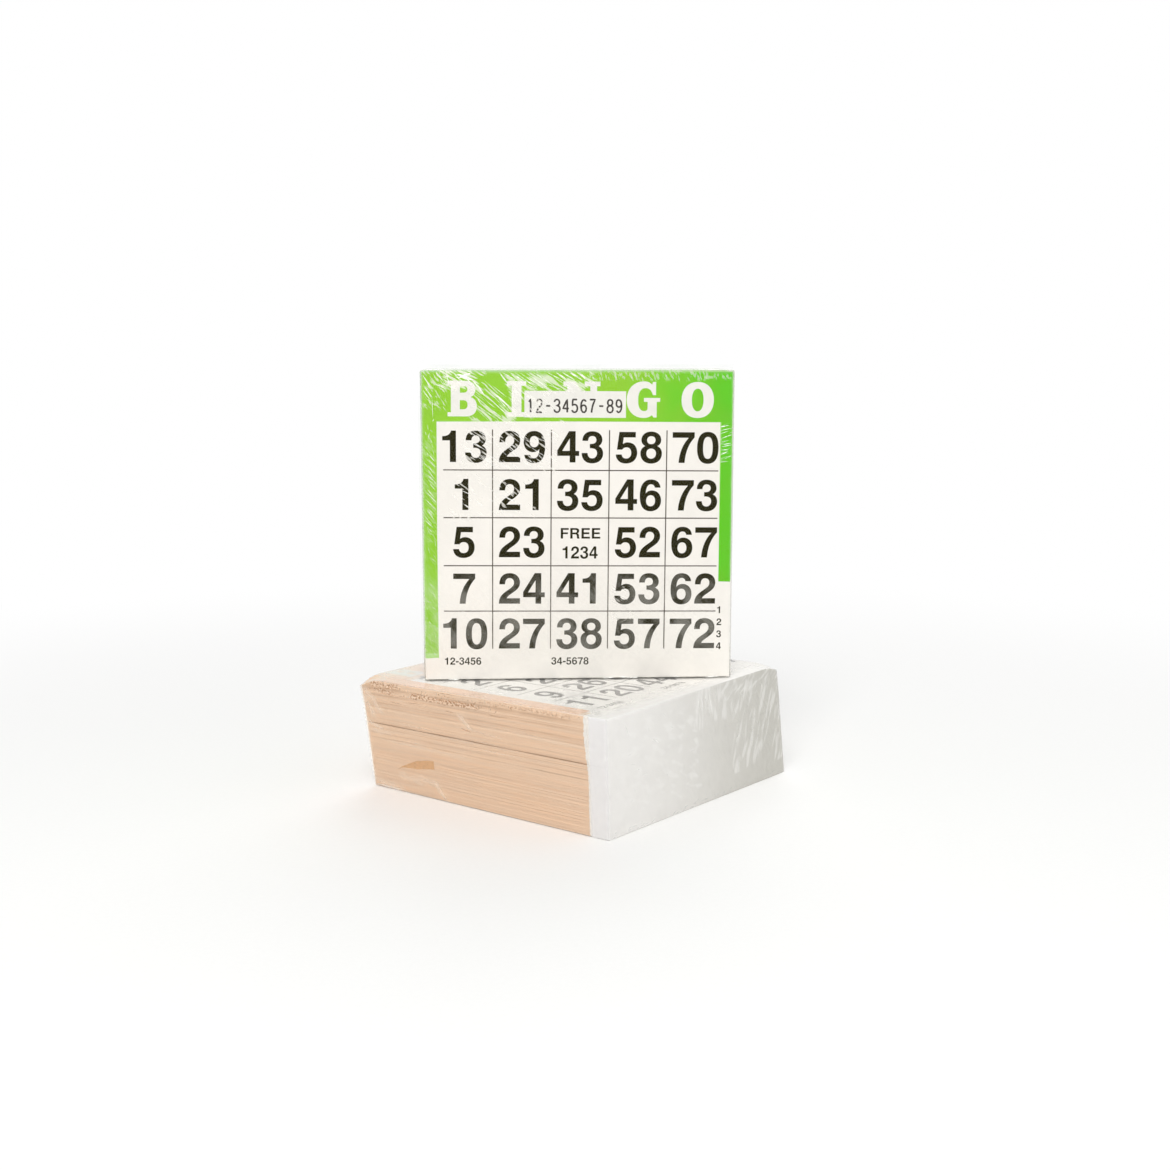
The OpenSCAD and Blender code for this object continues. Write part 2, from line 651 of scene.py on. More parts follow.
@dataclass(frozen=True)
class CardPaper:
    """Uncoated card paper whose printed border shows on the cut edges of the stack, with painted shade at its
    partings and dents, painted highlights in its dents, and painted light towards the card's foot and on the top
    sheet.
    """

    name: str
    stack: StackFrame
    ink: Colour
    white: Colour = srgb(246, 243, 238)
    left_band: float = 4.4
    right_band: float = 4.0
    head_band: float = 16.1
    back_foot: float = 7.2
    foot_rise: float = 1.3
    right_foot: float = 32.8
    # Painted shade at the partings: level, half height and strength.
    seams: tuple[tuple[float, float, float], ...] = ()
    dents: tuple[tuple[float, float, float, float, float], ...] = ()
    shaded: Colour = srgb(176, 134, 96)
    dent_dark: Colour = srgb(168, 116, 72)
    dent_pale: Colour = srgb(246, 222, 200)
    foot_light: float = 0.0
    top_light: float = 0.0

    def material(self) -> bpy.types.Material:
        """Builds the paper.

        Returns:
            The material.
        """
        g, s = Graph.material(self.name), self.stack
        spot = PackPlace.read(g, s)
        u, v, level = spot.across, spot.up, spot.level
        threads = g.cloud(u / 9, v / 9, level * 9, 3.0, 0.7)
        sheaves = g.cloud(u / 40, v / 40, level * 1.3, 3.0, 0.6)
        patches = g.cloud(u / 22, v / 22, level / 9)
        fray = (g.cloud(u / 6, v / 6, level * 2.2) - 0.5) * 1.2
        foot = v + fray - level.ramp(18.0, 34.0, 0.0, self.foot_rise)
        left = (self.left_band - u).above(0) * foot.above(self.back_foot)
        right = (u - s.width + self.right_band).above(0) * (v + fray).above(self.right_foot)
        head = (v - s.height + self.head_band).above(0)
        inked = left.most(right).most(head) * level.ramp(0.01, 0.03)
        strength = (threads * 0.4 + sheaves * 0.6 + patches * 0.3).ramp(0.4, 0.9, 0.86, 1.0)
        colour = g.blend(inked * strength, self.white, self.ink)
        # Painted shade along the partings, broken up by a cloud pattern.
        parting_breakup = g.cloud(u / 14, v / 14, level / 30, 3.0).ramp(0.32, 0.6, 0.25, 1.0)
        for height, half, dark in self.seams:
            far = level - height + (patches - 0.5) * 0.5
            line = far.distance().ramp(0.0, half, dark, 0.0)
            colour = g.blend(line * parting_breakup * inked, colour, self.shaded)
        # Painted shade and painted highlight specks of the dents.
        if self.dents:
            colour = self.dented(g, spot, colour)
        shade = (threads * 0.4 + sheaves * 0.6).ramp(0.3, 0.66) * (0.06 + inked * 0.08)
        # Painted light: lighter towards the card's foot and on the stack's top sheet.
        low = v.ramp(0.0, 55.0, self.foot_light, 0.0)
        low = low + level.ramp(s.depth - 0.1, s.depth - 0.05, 0.0, self.top_light)
        lit = g.blend(1.0, colour, g.grey(0.92 + shade + patches * 0.03 + low), "MULTIPLY")
        return g.finish(g.coat({
            "Base Color": lit,
            "Roughness": 0.86,
            "Specular IOR Level": 0.25,
            "Normal": g.bump(threads, 0.05 * MM, 0.35),
        }))

    def dented(self, g: Graph, spot: PackPlace, colour: Wire) -> Wire:
        """Paints the rows of small dents that the film has pressed into the left edge, as specks of painted shade
        and painted highlight.

        Args:
            g: The paper's graph.
            spot: The place in the pack.
            colour: The paper's colour.

        Returns:
            The colour with the dents.
        """
        along = self.stack.height - spot.up
        side = spot.across.fall(0.2, 0.6)
        teeth = g.cloud(along / 0.8, spot.level / 0.7, 0.0, 1.0)
        sway = (g.cloud(along / 5, 0.0, 7.0, 1.0) - 0.5) * 2.4
        for start, end, height, half, amount in self.dents:
            far = spot.level - height + sway
            near = far.distance().ramp(half * 0.5, half, amount, 0.0)
            row = near * side * along.ramp(start, start + 2.0) * along.fall(end - 3.0, end)
            colour = g.blend(row * teeth.ramp(0.5, 0.58), colour, self.dent_dark)
            colour = g.blend(row * teeth.fall(0.36, 0.44), colour, self.dent_pale)
        return colour


def printed(g: Graph, colour: Wire, fibre: Wire, sheen: float) -> bpy.types.Material:
    """Finishes an ink, with the paper's fibre in its gloss and its relief.

    Args:
        g: The ink's graph.
        colour: Its colour.
        fibre: The fibre's pattern.
        sheen: How much it mirrors.

    Returns:
        The material.
    """
    return g.finish(g.coat({
        "Base Color": colour,
        "Roughness": fibre.ramp(0.3, 0.7, 0.5, 0.75),
        "Specular IOR Level": sheen,
        "Normal": g.bump(fibre, 0.012 * MM, 0.4),
    }))


@dataclass(frozen=True)
class PrintInk:
    """A flat printed colour with the paper's fibre in it."""

    name: str
    colour: Colour
    show_through: float = 0.1
    mottle: float = 0.12
    sheen: float = 0.06
    bare: Colour = srgb(236, 233, 227)

    def material(self) -> bpy.types.Material:
        """Builds the ink.

        Returns:
            The material.
        """
        g = Graph.material(self.name)
        place = g.coordinates()
        fibre = g.noise(place, *FIBRE)
        cloud = g.noise(place, 240.0, 3.0)
        inked = g.blend(fibre.ramp(0.56, 0.8) * self.show_through, self.colour, self.bare)
        tone = (cloud * 0.6 + fibre * 0.4).ramp(0.3, 0.7, 1 - self.mottle, 1 + self.mottle * 0.4)
        return printed(g, g.blend(1.0, inked, g.grey(tone), "MULTIPLY"), fibre, self.sheen)


@dataclass(frozen=True)
class BorderInk:
    """The border's ink, paler and yellower towards the card's left edge, with the paper's fibre in it."""

    name: str
    stack: StackFrame
    thin: Colour
    full: Colour
    show_through: float = 0.05
    sheen: float = 0.3
    bare: Colour = srgb(240, 238, 220)

    def material(self) -> bpy.types.Material:
        """Builds the ink.

        Returns:
            The material.
        """
        g = Graph.material(self.name)
        place = g.coordinates()
        spot = PackPlace.read(g, self.stack)
        fibre = g.noise(place, *FIBRE)
        cloud = g.noise(place, 90.0, 3.0)
        # Paler and yellower towards the card's left edge.
        rightward_share = (spot.across + (cloud - 0.5) * 40).ramp(58.0, 106.0)
        laid = g.blend(rightward_share, self.thin, self.full)
        inked = g.blend(fibre.ramp(0.56, 0.8) * self.show_through, laid, self.bare)
        tone = (cloud * 0.5 + fibre * 0.5).ramp(0.3, 0.7, 0.93, 1.03)
        return printed(g, g.blend(1.0, inked, g.grey(tone), "MULTIPLY"), fibre, self.sheen)


@dataclass(frozen=True)
class Streaks:
    """A patch of fine white lines painted on the film as the highlights of its creases, on the face or the foot,
    in millimetres.
    """

    across: tuple[float, float]
    up: tuple[float, float]
    angle: float
    pitch: float
    length: float
    level: float
    amount: float
    stray: float = 8.0
    side: Side = Side.FACE
    soft: float = 0.06
    blur: float = 0.7

    def lines(self, g: Graph, spot: PackPlace, patch: Wire) -> Wire:
        """Gives how strong the painted highlight lines are.

        Args:
            g: The film's graph.
            spot: The place in the pack.
            patch: A cloud pattern that frays the patch's outline.

        Returns:
            The share of milk.
        """
        cos, sin = math.cos(math.radians(self.angle)), math.sin(math.radians(self.angle))
        rise = spot.up if self.side is Side.FACE else spot.level
        along, beside = spot.across * cos + rise * sin, rise * cos - spot.across * sin
        drawn = g.cloud(beside / self.pitch, along / self.length, self.angle, 1.0)
        inside = drawn.ramp(self.level, self.level + self.soft, 0.0, self.amount)
        frayed = (patch - 0.5) * self.stray
        for place, (low, high) in ((spot.across + frayed, self.across), (rise + frayed, self.up)):
            inside = inside * place.ramp(low - self.blur, low + self.blur)
            inside = inside * place.fall(high - self.blur, high + self.blur)
        return inside


@dataclass(frozen=True)
class SoftFold:
    """A broad fold of the film on the left side, milky where doubled and painted as a highlight where it catches
    light, from end to end along the side and up it, in millimetres.
    """

    start: tuple[float, float]
    end: tuple[float, float]
    half: float
    amount: float

    def glow(self, g: Graph, along: Wire, level: Wire) -> Wire:
        """Gives how milky the fold is, painted highlight included.

        Args:
            g: The film's graph.
            along: The place along the side.
            level: The place up the side.

        Returns:
            The share of milk.
        """
        run = Vector(self.end) - Vector(self.start)
        x, y = along - self.start[0], level - self.start[1]
        share = (x * run.x + y * run.y) / run.length_squared
        sway = (g.cloud(along / 4, level / 4, self.start[0], 1.0) - 0.5) * 2.0
        beside = (x * run.y - y * run.x) / run.length + sway
        ridge = beside.distance().ramp(0.0, self.half, self.amount, 0.0)
        return ridge * share.ramp(-0.1, 0.25) * share.fall(0.75, 1.1)


@dataclass(frozen=True)
class ClearFilm:
    """Taut clear shrink film: it mirrors more at a slant, and is milky where it is stressed or doubled. Its milk
    also carries painted glare, painted highlight lines and, on the foot side, painted shade towards the far end.
    """

    name: str
    stack: StackFrame
    haze: dict[Side, float]
    edge_haze: float
    near_milk: Colour
    far_milk: Colour
    streaks: tuple[Streaks, ...]
    foot_haze: float = 0.0
    wrap: float = 0.0
    glare: float = 0.0
    wrinkle: float = 0.0
    soft_folds: tuple[SoftFold, ...] = ()
    strip_foot: Colour = srgb(227, 225, 227)
    strip_side: Colour = srgb(246, 226, 204)
    corner_milk: Colour = srgb(223, 221, 221)
    line_milk: Colour = srgb(250, 249, 246)
    most_milk: float = 0.92

    def material(self) -> bpy.types.Material:
        """Builds the film.

        Returns:
            The material.
        """
        g = Graph.material(self.name)
        place = g.coordinates()
        swell = g.noise(place, 38.0, 2.0)
        crinkle = g.noise(place, 300.0, 3.0, 0.6)
        tilt = g.bump(swell * 0.85 + crinkle * 0.15, 0.5 * MM, 0.35)
        clear = g.node("ShaderNodeBsdfTransparent", None, {"Color": (0.99, 0.99, 0.985, 1.0)})
        gloss = g.node(
            "ShaderNodeBsdfGlossy", None, {"Color": (0.95, 0.95, 0.95, 1.0), "Roughness": 0.13, "Normal": tilt}
        )
        slant = g.wire(g.node("ShaderNodeLayerWeight", None, {"Blend": 0.5}), "Facing")
        mirror = (slant.math("POWER", slant, 5.0) * 1.05 + 0.01).least(0.5)
        film = g.layer(mirror, clear, gloss)
        spot = PackPlace.read(g, self.stack)
        foot = spot.up.fall(-0.45, -0.2)
        # Painted shade: on the foot side the milk darkens towards the far end.
        far = foot * spot.across.ramp(0.0, self.stack.width)
        strip = spot.across.fall(-0.45, -0.2) * self.wrap
        side = g.blend(spot.up.ramp(6.0, 7.0), self.strip_foot, self.strip_side)
        tint = g.blend(strip, g.blend(far, self.near_milk, self.far_milk), side)
        turn = spot.across.fall(-0.5, 0.2) * spot.up.fall(-0.5, 0.2)
        tint = g.blend(turn * self.wrap, tint, self.corner_milk)
        patch = g.cloud(spot.across / 11, spot.up / 11, spot.level / 11, 2.5)
        # Painted highlight lines on the foot side.
        for area in self.streaks:
            if area.side is Side.FOOT:
                tint = g.blend(area.lines(g, spot, patch) * foot, tint, self.line_milk)
        lean, rise = spot.across + spot.level * 0.4, spot.level - spot.across * 0.4
        wrinkles = g.cloud(lean / 4, rise / 13, spot.up / 12) * spot.across.ramp(30.0, 85.0, 0.12, 1.0)
        milk = g.coat({
            "Base Color": tint,
            "Roughness": 0.45,
            "Specular IOR Level": 0.25,
            "Normal": g.bump(wrinkles, self.wrinkle * MM, 0.7),
        })
        return g.finish(g.layer(self.clouded(g, spot, crinkle, patch), film, milk))

    def clouded(self, g: Graph, spot: PackPlace, crinkle: Wire, patch: Wire) -> Wire:
        """Gives how milky the film is, painted glare and highlights included.

        Args:
            g: The film's graph.
            spot: The place in the pack.
            crinkle: A fine cloud pattern.
            patch: A coarse cloud pattern.

        Returns:
            The share of milk.
        """
        s = self.stack
        u, v, level = spot.across, spot.up, spot.level
        masks = {
            Side.FACE: level.ramp(s.depth - 0.2, s.depth + 0.1),
            Side.BACK: level.fall(-0.1, 0.2),
            Side.LEFT: u.fall(-0.45, -0.2),
            Side.RIGHT: u.ramp(s.width + 0.2, s.width + 0.45),
            Side.HEAD: v.ramp(s.height + 0.2, s.height + 0.45),
            Side.FOOT: v.fall(-0.45, -0.2),
        }
        turned = (masks[Side.LEFT] * v.fall(5.4, 7.4)).most(masks[Side.FACE] * v.fall(2.0, 7.0))
        masks[Side.FOOT] = masks[Side.FOOT].most(turned * self.wrap)
        total = crinkle.ramp(0.45, 0.8) * 0.006
        # Milk of each side, part the film's own and part painted glare.
        for side, amount in self.haze.items():
            even = patch.ramp(0.36, 0.6, 0.92 if side is Side.FOOT else 0.72, 1.0)
            total = total + masks[side] * (even * amount)
        shine = (v + (patch - 0.5) * 12).ramp(80.0, 88.0) * u.ramp(4.0, 12.0)
        total = total + masks[Side.FACE] * shine * self.glare
        # Painted highlights of the broad fold on the left side.
        for fold in self.soft_folds:
            total = total + masks[Side.LEFT] * fold.glow(g, s.height - v, level)
        # Painted glare: a streaky veil of reflected light over the lower rows of the face.
        if self.foot_haze:
            streak = g.cloud((u + v) / 6, (u - v) / 26, 0.0)
            cross = g.cloud((u - v) / 8, (u + v) / 22, 3.0)
            step = (v + (patch - 0.5) * 24).fall(27.0, 40.0) * v.ramp(5.0, 9.0, 0.3, 1.0)
            step = step * u.fall(95.5, 97.5)
            bands = streak.ramp(0.44, 0.55) * 0.5 + cross.ramp(0.44, 0.55) * 0.4 + 0.1
            total = total + masks[Side.FACE] * step * (bands * self.foot_haze)
        # Painted highlight lines on the face.
        for area in self.streaks:
            if area.side is Side.FACE:
                total = total + masks[Side.FACE] * area.lines(g, spot, patch)
        # Milk along the film's edges: part doubled film, part painted highlight.
        du = (u + EDGE_GAP).least(s.width + EDGE_GAP - u)
        dv = (v + EDGE_GAP).least(s.height + EDGE_GAP - v)
        dl = (level + FACE_GAP).least(s.depth + FACE_GAP - level)
        edge = du.least(dv).most(du.most(dv).least(dl))
        total = total + edge.fall(0.2, 1.5) * (crinkle.ramp(0.3, 0.7, 0.4, 1.0) * self.edge_haze)
        return total.least(self.most_milk) * g.facing_light()


@dataclass(frozen=True)
class FilmCrease:
    """A crease or fold of the film, laid on it as a thin piece: its pale tints are painted highlights, its dark
    tints painted shade, and on the trim seal it is the film's own white.
    """

    name: str
    cover: float
    tint: Colour = srgb(250, 250, 248)
    mirror: float = 0.2
    whole: float = 0.35

    def material(self) -> bpy.types.Material:
        """Builds the crease.

        Returns:
            The material.
        """
        g = Graph.material(self.name)
        broken = g.noise(g.coordinates(), 900.0, 3.0, 0.6)
        cover = broken.ramp(0.3, 0.62, self.cover * self.whole, self.cover)
        return g.finish(g.coat({
            "Base Color": self.tint,
            "Metallic": self.mirror,
            "Roughness": broken.ramp(0.3, 0.7, 0.25, 0.45),
            "Alpha": cover * g.facing_light() * g.outside(),
        }))


@dataclass(frozen=True)
class FloorFinish:
    """A pale floor that keeps the shadow near the object and fades to white far from it."""

    name: str
    clear_from: float = 0.16
    white_from: float = 0.5

    def material(self) -> bpy.types.Material:
        """Builds the floor.

        Returns:
            The material.
        """
        g = Graph.material(self.name)
        place = g.coordinates()
        far = g.wire(g.node("ShaderNodeVectorMath", {"operation": "LENGTH"}, {0: place}), "Value")
        speckle = g.noise(place, 700.0, 2.0)
        tone = g.blend(speckle, srgb(247, 247, 246), srgb(251, 251, 250))
        floor = g.coat({"Base Color": tone, "Roughness": 0.8})
        white = g.node("ShaderNodeEmission", None, {"Color": (1.0, 1.0, 1.0, 1.0), "Strength": 1.0})
        fade = far.ramp(self.clear_from, self.white_from) * g.seen()
        return g.finish(g.layer(fade, floor, white))


class Typeface:
    """The printed characters, drawn as outlines 1000 units to the em."""

    PLAIN: dict[str, str] = {
        "0": "M278 710 C455 710 524 570 524 345 C524 120 455 -19 278 -19 C101 -19 32 120 32 345 "
             "C32 570 101 710 278 710 Z M278 596 C350 596 388 520 388 345 C388 170 350 95 278 95 "
             "C206 95 168 170 168 345 C168 520 206 596 278 596 Z",
        "1": "M378 710 V0 H240 V487 H69 V583 C170 585 242 610 268 710 Z",
        "2": "M511 0 V126 H206 C228 172 275 206 345 254 C452 327 511 391 511 492 C511 624 416 710 274 710 "
             "C124 710 36 612 38 450 H170 C170 542 206 594 271 594 C334 594 373 555 373 489 "
             "C373 424 335 385 234 317 C88 219 29 146 26 0 Z",
        "3": "M172 492 C172 560 208 602 266 602 C324 602 360 568 360 516 C360 455 320 424 240 424 H212 V324 "
             "H240 C330 324 377 286 377 216 C377 144 334 95 268 95 C202 95 165 138 161 216 H27 "
             "C29 70 118 -19 264 -19 C416 -19 516 72 516 208 C516 288 478 346 410 374 C466 404 496 454 496 518 "
             "C496 632 404 710 268 710 C126 710 42 628 42 492 Z",
        "4": "M444 710 V262 H526 V150 H444 V0 H312 V150 H27 V270 L294 710 Z M312 548 L140 262 H312 Z",
        "5": "M478 698 V574 H206 L186 424 C220 450 258 462 302 462 C430 462 516 366 516 226 "
             "C516 78 414 -19 262 -19 C122 -19 32 60 27 186 H161 C168 128 206 95 264 95 "
             "C336 95 378 144 378 222 C378 302 338 348 268 348 C224 348 194 332 172 296 H52 L106 698 Z",
        "6": "M504 524 C494 640 410 710 288 710 C118 710 31 578 31 334 C31 100 114 -19 278 -19 "
             "C424 -19 520 78 520 226 C520 366 432 460 308 460 C248 460 202 438 166 390 C170 528 212 600 286 600 "
             "C334 600 364 574 372 524 Z M282 350 C342 350 382 302 382 222 C382 144 342 95 280 95 "
             "C218 95 176 146 176 224 C176 300 218 350 282 350 Z",
        "7": "M528 698 V580 C406 452 322 268 306 0 H168 C186 246 264 432 394 572 H25 V698 Z",
        "8": "M278 710 C410 710 504 632 504 522 C504 456 474 408 416 380 C486 350 524 292 524 210 "
             "C524 72 424 -19 278 -19 C132 -19 32 72 32 210 C32 292 70 350 140 380 C82 408 52 456 52 522 "
             "C52 632 146 710 278 710 Z M278 604 C220 604 182 568 182 514 C182 458 220 424 278 424 "
             "C336 424 374 458 374 514 C374 568 336 604 278 604 Z M278 324 C212 324 168 280 168 212 "
             "C168 142 212 93 278 93 C344 93 388 142 388 212 C388 280 344 324 278 324 Z",
        "-": "M27 345 H306 V215 H27 Z",
        "F": "M76 718 H587 V594 H226 V422 H534 V304 H226 V0 H76 Z",
        "R": "M76 718 H430 C570 718 650 648 650 530 C650 444 614 388 540 356 C608 328 634 288 638 196 "
             "C642 98 646 52 677 20 V0 H514 C502 40 500 76 498 150 C496 258 468 290 380 290 H226 V0 H76 Z "
             "M226 594 V412 H398 C464 412 500 442 500 504 C500 566 466 594 398 594 Z",
        "E": "M76 718 H607 V594 H226 V428 H578 V306 H226 V124 H621 V0 H76 Z",
    }
    ADVANCE: dict[str, float] = {"-": 333, "F": 611, "R": 722, "E": 667}
    DIGIT_ADVANCE = 556
    CAP = 710
    NINE_SPOT = (552, 691, 0)
    SLAB_CAP = 1000
    SLAB: dict[str, str] = {
        "B": "M0 0 V115 H95 V885 H0 V1000 H500 C700 1000 785 900 785 765 C785 650 735 575 645 545 "
             "C755 510 825 420 825 290 C825 110 715 0 510 0 Z M350 850 V665 H440 C520 665 560 700 560 757 "
             "C560 815 520 850 440 850 Z M345 455 V200 H440 C525 200 565 250 565 328 C565 405 525 455 440 455 Z",
        "I": "M0 0 V130 H125 V870 H0 V1000 H530 V870 H400 V130 H530 V0 Z",
        "N": "M0 0 V130 H110 V870 H0 V1000 H330 L760 400 V870 H600 V1000 H1045 V870 H950 V0 H770 L290 690 "
             "V130 H420 V0 Z",
        "G": "M830 1000 V630 H740 C715 745 650 815 560 825 C420 835 325 745 325 495 C325 270 390 180 500 180 "
             "C560 180 595 205 595 260 V440 H490 V550 H950 V440 H855 V0 H770 L720 65 C650 10 580 -15 480 -15 "
             "C200 -15 0 190 0 495 C0 800 200 1015 490 1015 C590 1015 660 985 715 925 L745 1000 Z",
        "O": "M461 1010 C750 1010 922 800 922 500 C922 200 750 -10 461 -10 C172 -10 0 200 0 500 "
             "C0 800 172 1010 461 1010 Z M461 820 C560 820 628 700 628 500 C628 300 560 180 461 180 "
             "C362 180 294 300 294 500 C294 700 362 820 461 820 Z",
    }
    STAMP: dict[str, str] = {
        "1": "M50 340 L105 430 V0",
        "2": "M10 330 C10 460 185 460 185 325 C185 225 20 120 10 0 H190",
        "3": "M10 345 C20 460 180 460 180 330 C180 255 130 228 80 228 C140 228 195 190 195 115 "
             "C195 -30 10 -30 5 95",
        "4": "M145 0 V430 L0 130 H200",
        "5": "M175 430 H35 L20 230 C60 285 190 285 190 135 C190 -30 20 -30 10 80",
        "6": "M170 360 C150 460 10 460 10 190 C10 -50 190 -50 190 130 C190 280 30 280 12 150",
        "7": "M10 430 H190 C120 300 80 160 70 0",
        "8": "M100 232 C-10 232 -10 430 100 430 C210 430 210 232 100 232 C-30 232 -30 0 100 0 "
             "C230 0 230 232 100 232",
        "-": "M30 215 H170",
    }
    STAMP_CAP = 430
    STAMP_NINE_SPOT = (200, STAMP_CAP, 0)

    def __init__(self) -> None:
        """Starts with no character drawn."""
        self.drawn: dict[str, bpy.types.Mesh] = {}

    @staticmethod
    def contours(path: str, closed: bool) -> list[list[list[Vector]]]:
        """Reads an outline.

        Args:
            path: Moves, lines, level and plumb lines and curves, and Z after a closed contour.
            closed: True where every contour is closed.

        Returns:
            For each contour, its points as incoming handle, place and outgoing handle.
        """
        words = path.split()
        shapes: list[list[list[Vector]]] = []
        pen = Vector((0, 0))
        at = 0
        while at < len(words):
            letter, first = words[at][0], words[at][1:]
            count = {"M": 2, "L": 2, "H": 1, "V": 1, "C": 6, "Z": 0}[letter]
            values = [float(w) for w in ([first] if first else []) + words[at + 1:at + count]]
            at += max(count, 1)
            if letter == "M":
                pen = Vector(values)
                shapes.append([[pen, pen, pen]])
            elif letter == "C":
                shapes[-1][-1][2] = Vector(values[0:2])
                pen = Vector(values[4:6])
                shapes[-1].append([Vector(values[2:4]), pen, pen])
            elif letter != "Z":
                end = Vector(values) if letter == "L" else Vector(
                    (values[0], pen.y) if letter == "H" else (pen.x, values[0]))
                shapes[-1][-1][2] = pen.lerp(end, 1 / 3)
                shapes[-1].append([pen.lerp(end, 2 / 3), end, end])
                pen = end
        if not closed:
            return shapes
        for shape in shapes:
            first, last = shape[0], shape[-1]
            if (first[1] - last[1]).length < 1e-6:
                first[0] = last[0]
                shape.pop()
            else:
                last[2], first[0] = last[1].lerp(first[1], 1 / 3), last[1].lerp(first[1], 2 / 3)
        return shapes

    @classmethod
    def draw(cls, name: str, path: str, thick: float, steps: int = 8, pen: float = 0.0) -> bpy.types.Mesh:
        """Makes an outline, or the stroke of a round pen, into a thin solid mesh.

        Args:
            name: The mesh's name.
            path: The outline.
            thick: Thickness, in the outline's units.
            steps: Points on each curve.
            pen: Width of the pen, or 0 for a filled outline.

        Returns:
            The mesh, on its back at zero.
        """
        curve = bpy.data.curves.new(name, "CURVE")
        curve.resolution_u = steps
        if pen:
            curve.dimensions = "3D"
            curve.bevel_depth = pen / 2
            curve.bevel_resolution = 1
            curve.use_fill_caps = True
        else:
            curve.dimensions = "2D"
            curve.fill_mode = "BOTH"
            curve.extrude = thick / 2
        for contour in cls.contours(path, not pen):
            spline = curve.splines.new("BEZIER")
            spline.bezier_points.add(len(contour) - 1)
            spline.use_cyclic_u = not pen
            for point, (before, place, after) in zip(spline.bezier_points, contour):
                point.handle_left_type = point.handle_right_type = "FREE"
                point.handle_left = before.to_3d()
                point.co = place.to_3d()
                point.handle_right = after.to_3d()
        made = bpy.data.objects.new(name, curve)
        bpy.context.scene.collection.objects.link(made)
        Bench.take(made)
        bpy.ops.object.convert(target="MESH")
        made = bpy.context.object
        with Bench.editing(made):
            bpy.ops.mesh.remove_doubles(threshold=thick / 50)
            bpy.ops.mesh.normals_make_consistent(inside=False)
        mesh = made.data
        flat = thick / pen if pen else 1.0
        mesh.transform(Matrix.Translation((0, 0, thick / 2)) @ Matrix.Diagonal((1, 1, flat, 1)))
        bpy.data.objects.remove(made)
        return mesh

    def character(self, letter: str, thick: float) -> bpy.types.Mesh:
        """Gives a plain character's mesh, drawn the first time it is asked for.

        Args:
            letter: The character.
            thick: Thickness in the outline's units.

        Returns:
            The mesh.
        """
        key = f"{letter}_{thick:.4f}"
        if key not in self.drawn:
            if letter == "9":
                mesh = self.character("6", thick).copy()
                mesh.transform(Matrix.Translation(self.NINE_SPOT) @ Matrix.Rotation(math.pi, 4, "Z"))
            else:
                mesh = self.draw(f"character_{letter}", self.PLAIN[letter], thick)
            self.drawn[key] = mesh
        return self.drawn[key]

    def length(self, words: str) -> float:
        """Gives how long a line of characters is, in units."""
        return sum(self.ADVANCE.get(c, self.DIGIT_ADVANCE) for c in words)

    def line(
        self, words: str, spot: Vector, cap: float, thick: float, squeeze: float = 1.0
    ) -> list[bpy.types.Object]:
        """Sets a line of characters.

        Args:
            words: The characters.
            spot: Middle of the line's foot, in millimetres.
            cap: Height of a character in millimetres.
            thick: Thickness in millimetres.
            squeeze: Width against the drawn width.

        Returns:
            One object for each character.
        """
        scale = cap / self.CAP
        pen = -self.length(words) / 2
        made = []
        for letter in words:
            mesh = self.character(letter, thick / scale)
            size = Matrix.Diagonal((scale * squeeze, scale, scale, 1))
            place = Matrix.Translation(spot) @ size @ Matrix.Translation((pen, 0, 0))
            made.append(Bench.copy(mesh, place))
            pen += self.ADVANCE.get(letter, self.DIGIT_ADVANCE)
        return made

    def stamped(
        self, digits: str, spot: Vector, cap: float, pitch: float, pen: float, thick: float
    ) -> list[bpy.types.Object]:
        """Sets a row of thin stamped digits.

        Args:
            digits: The digits, with hyphens.
            spot: Foot of the first digit's left side, in millimetres.
            cap: Height of a digit in millimetres.
            pitch: Step from digit to digit.
            pen: Width of the stroke.
            thick: Thickness in millimetres.

        Returns:
            One object for each digit.
        """
        scale = cap / self.STAMP_CAP
        made = []
        for step, digit in enumerate(digits):
            turned = digit == "9"
            path = self.STAMP["6" if turned else digit]
            mesh = self.draw(f"stamp_{digit}", path, thick / scale, 5, pen / scale)
            if turned:
                mesh.transform(Matrix.Translation(self.STAMP_NINE_SPOT) @ Matrix.Rotation(math.pi, 4, "Z"))
            place = Matrix.Translation(spot + Vector((pitch * step, 0, 0))) @ Matrix.Scale(scale, 4)
            made.append(Bench.copy(mesh, place))
        return made


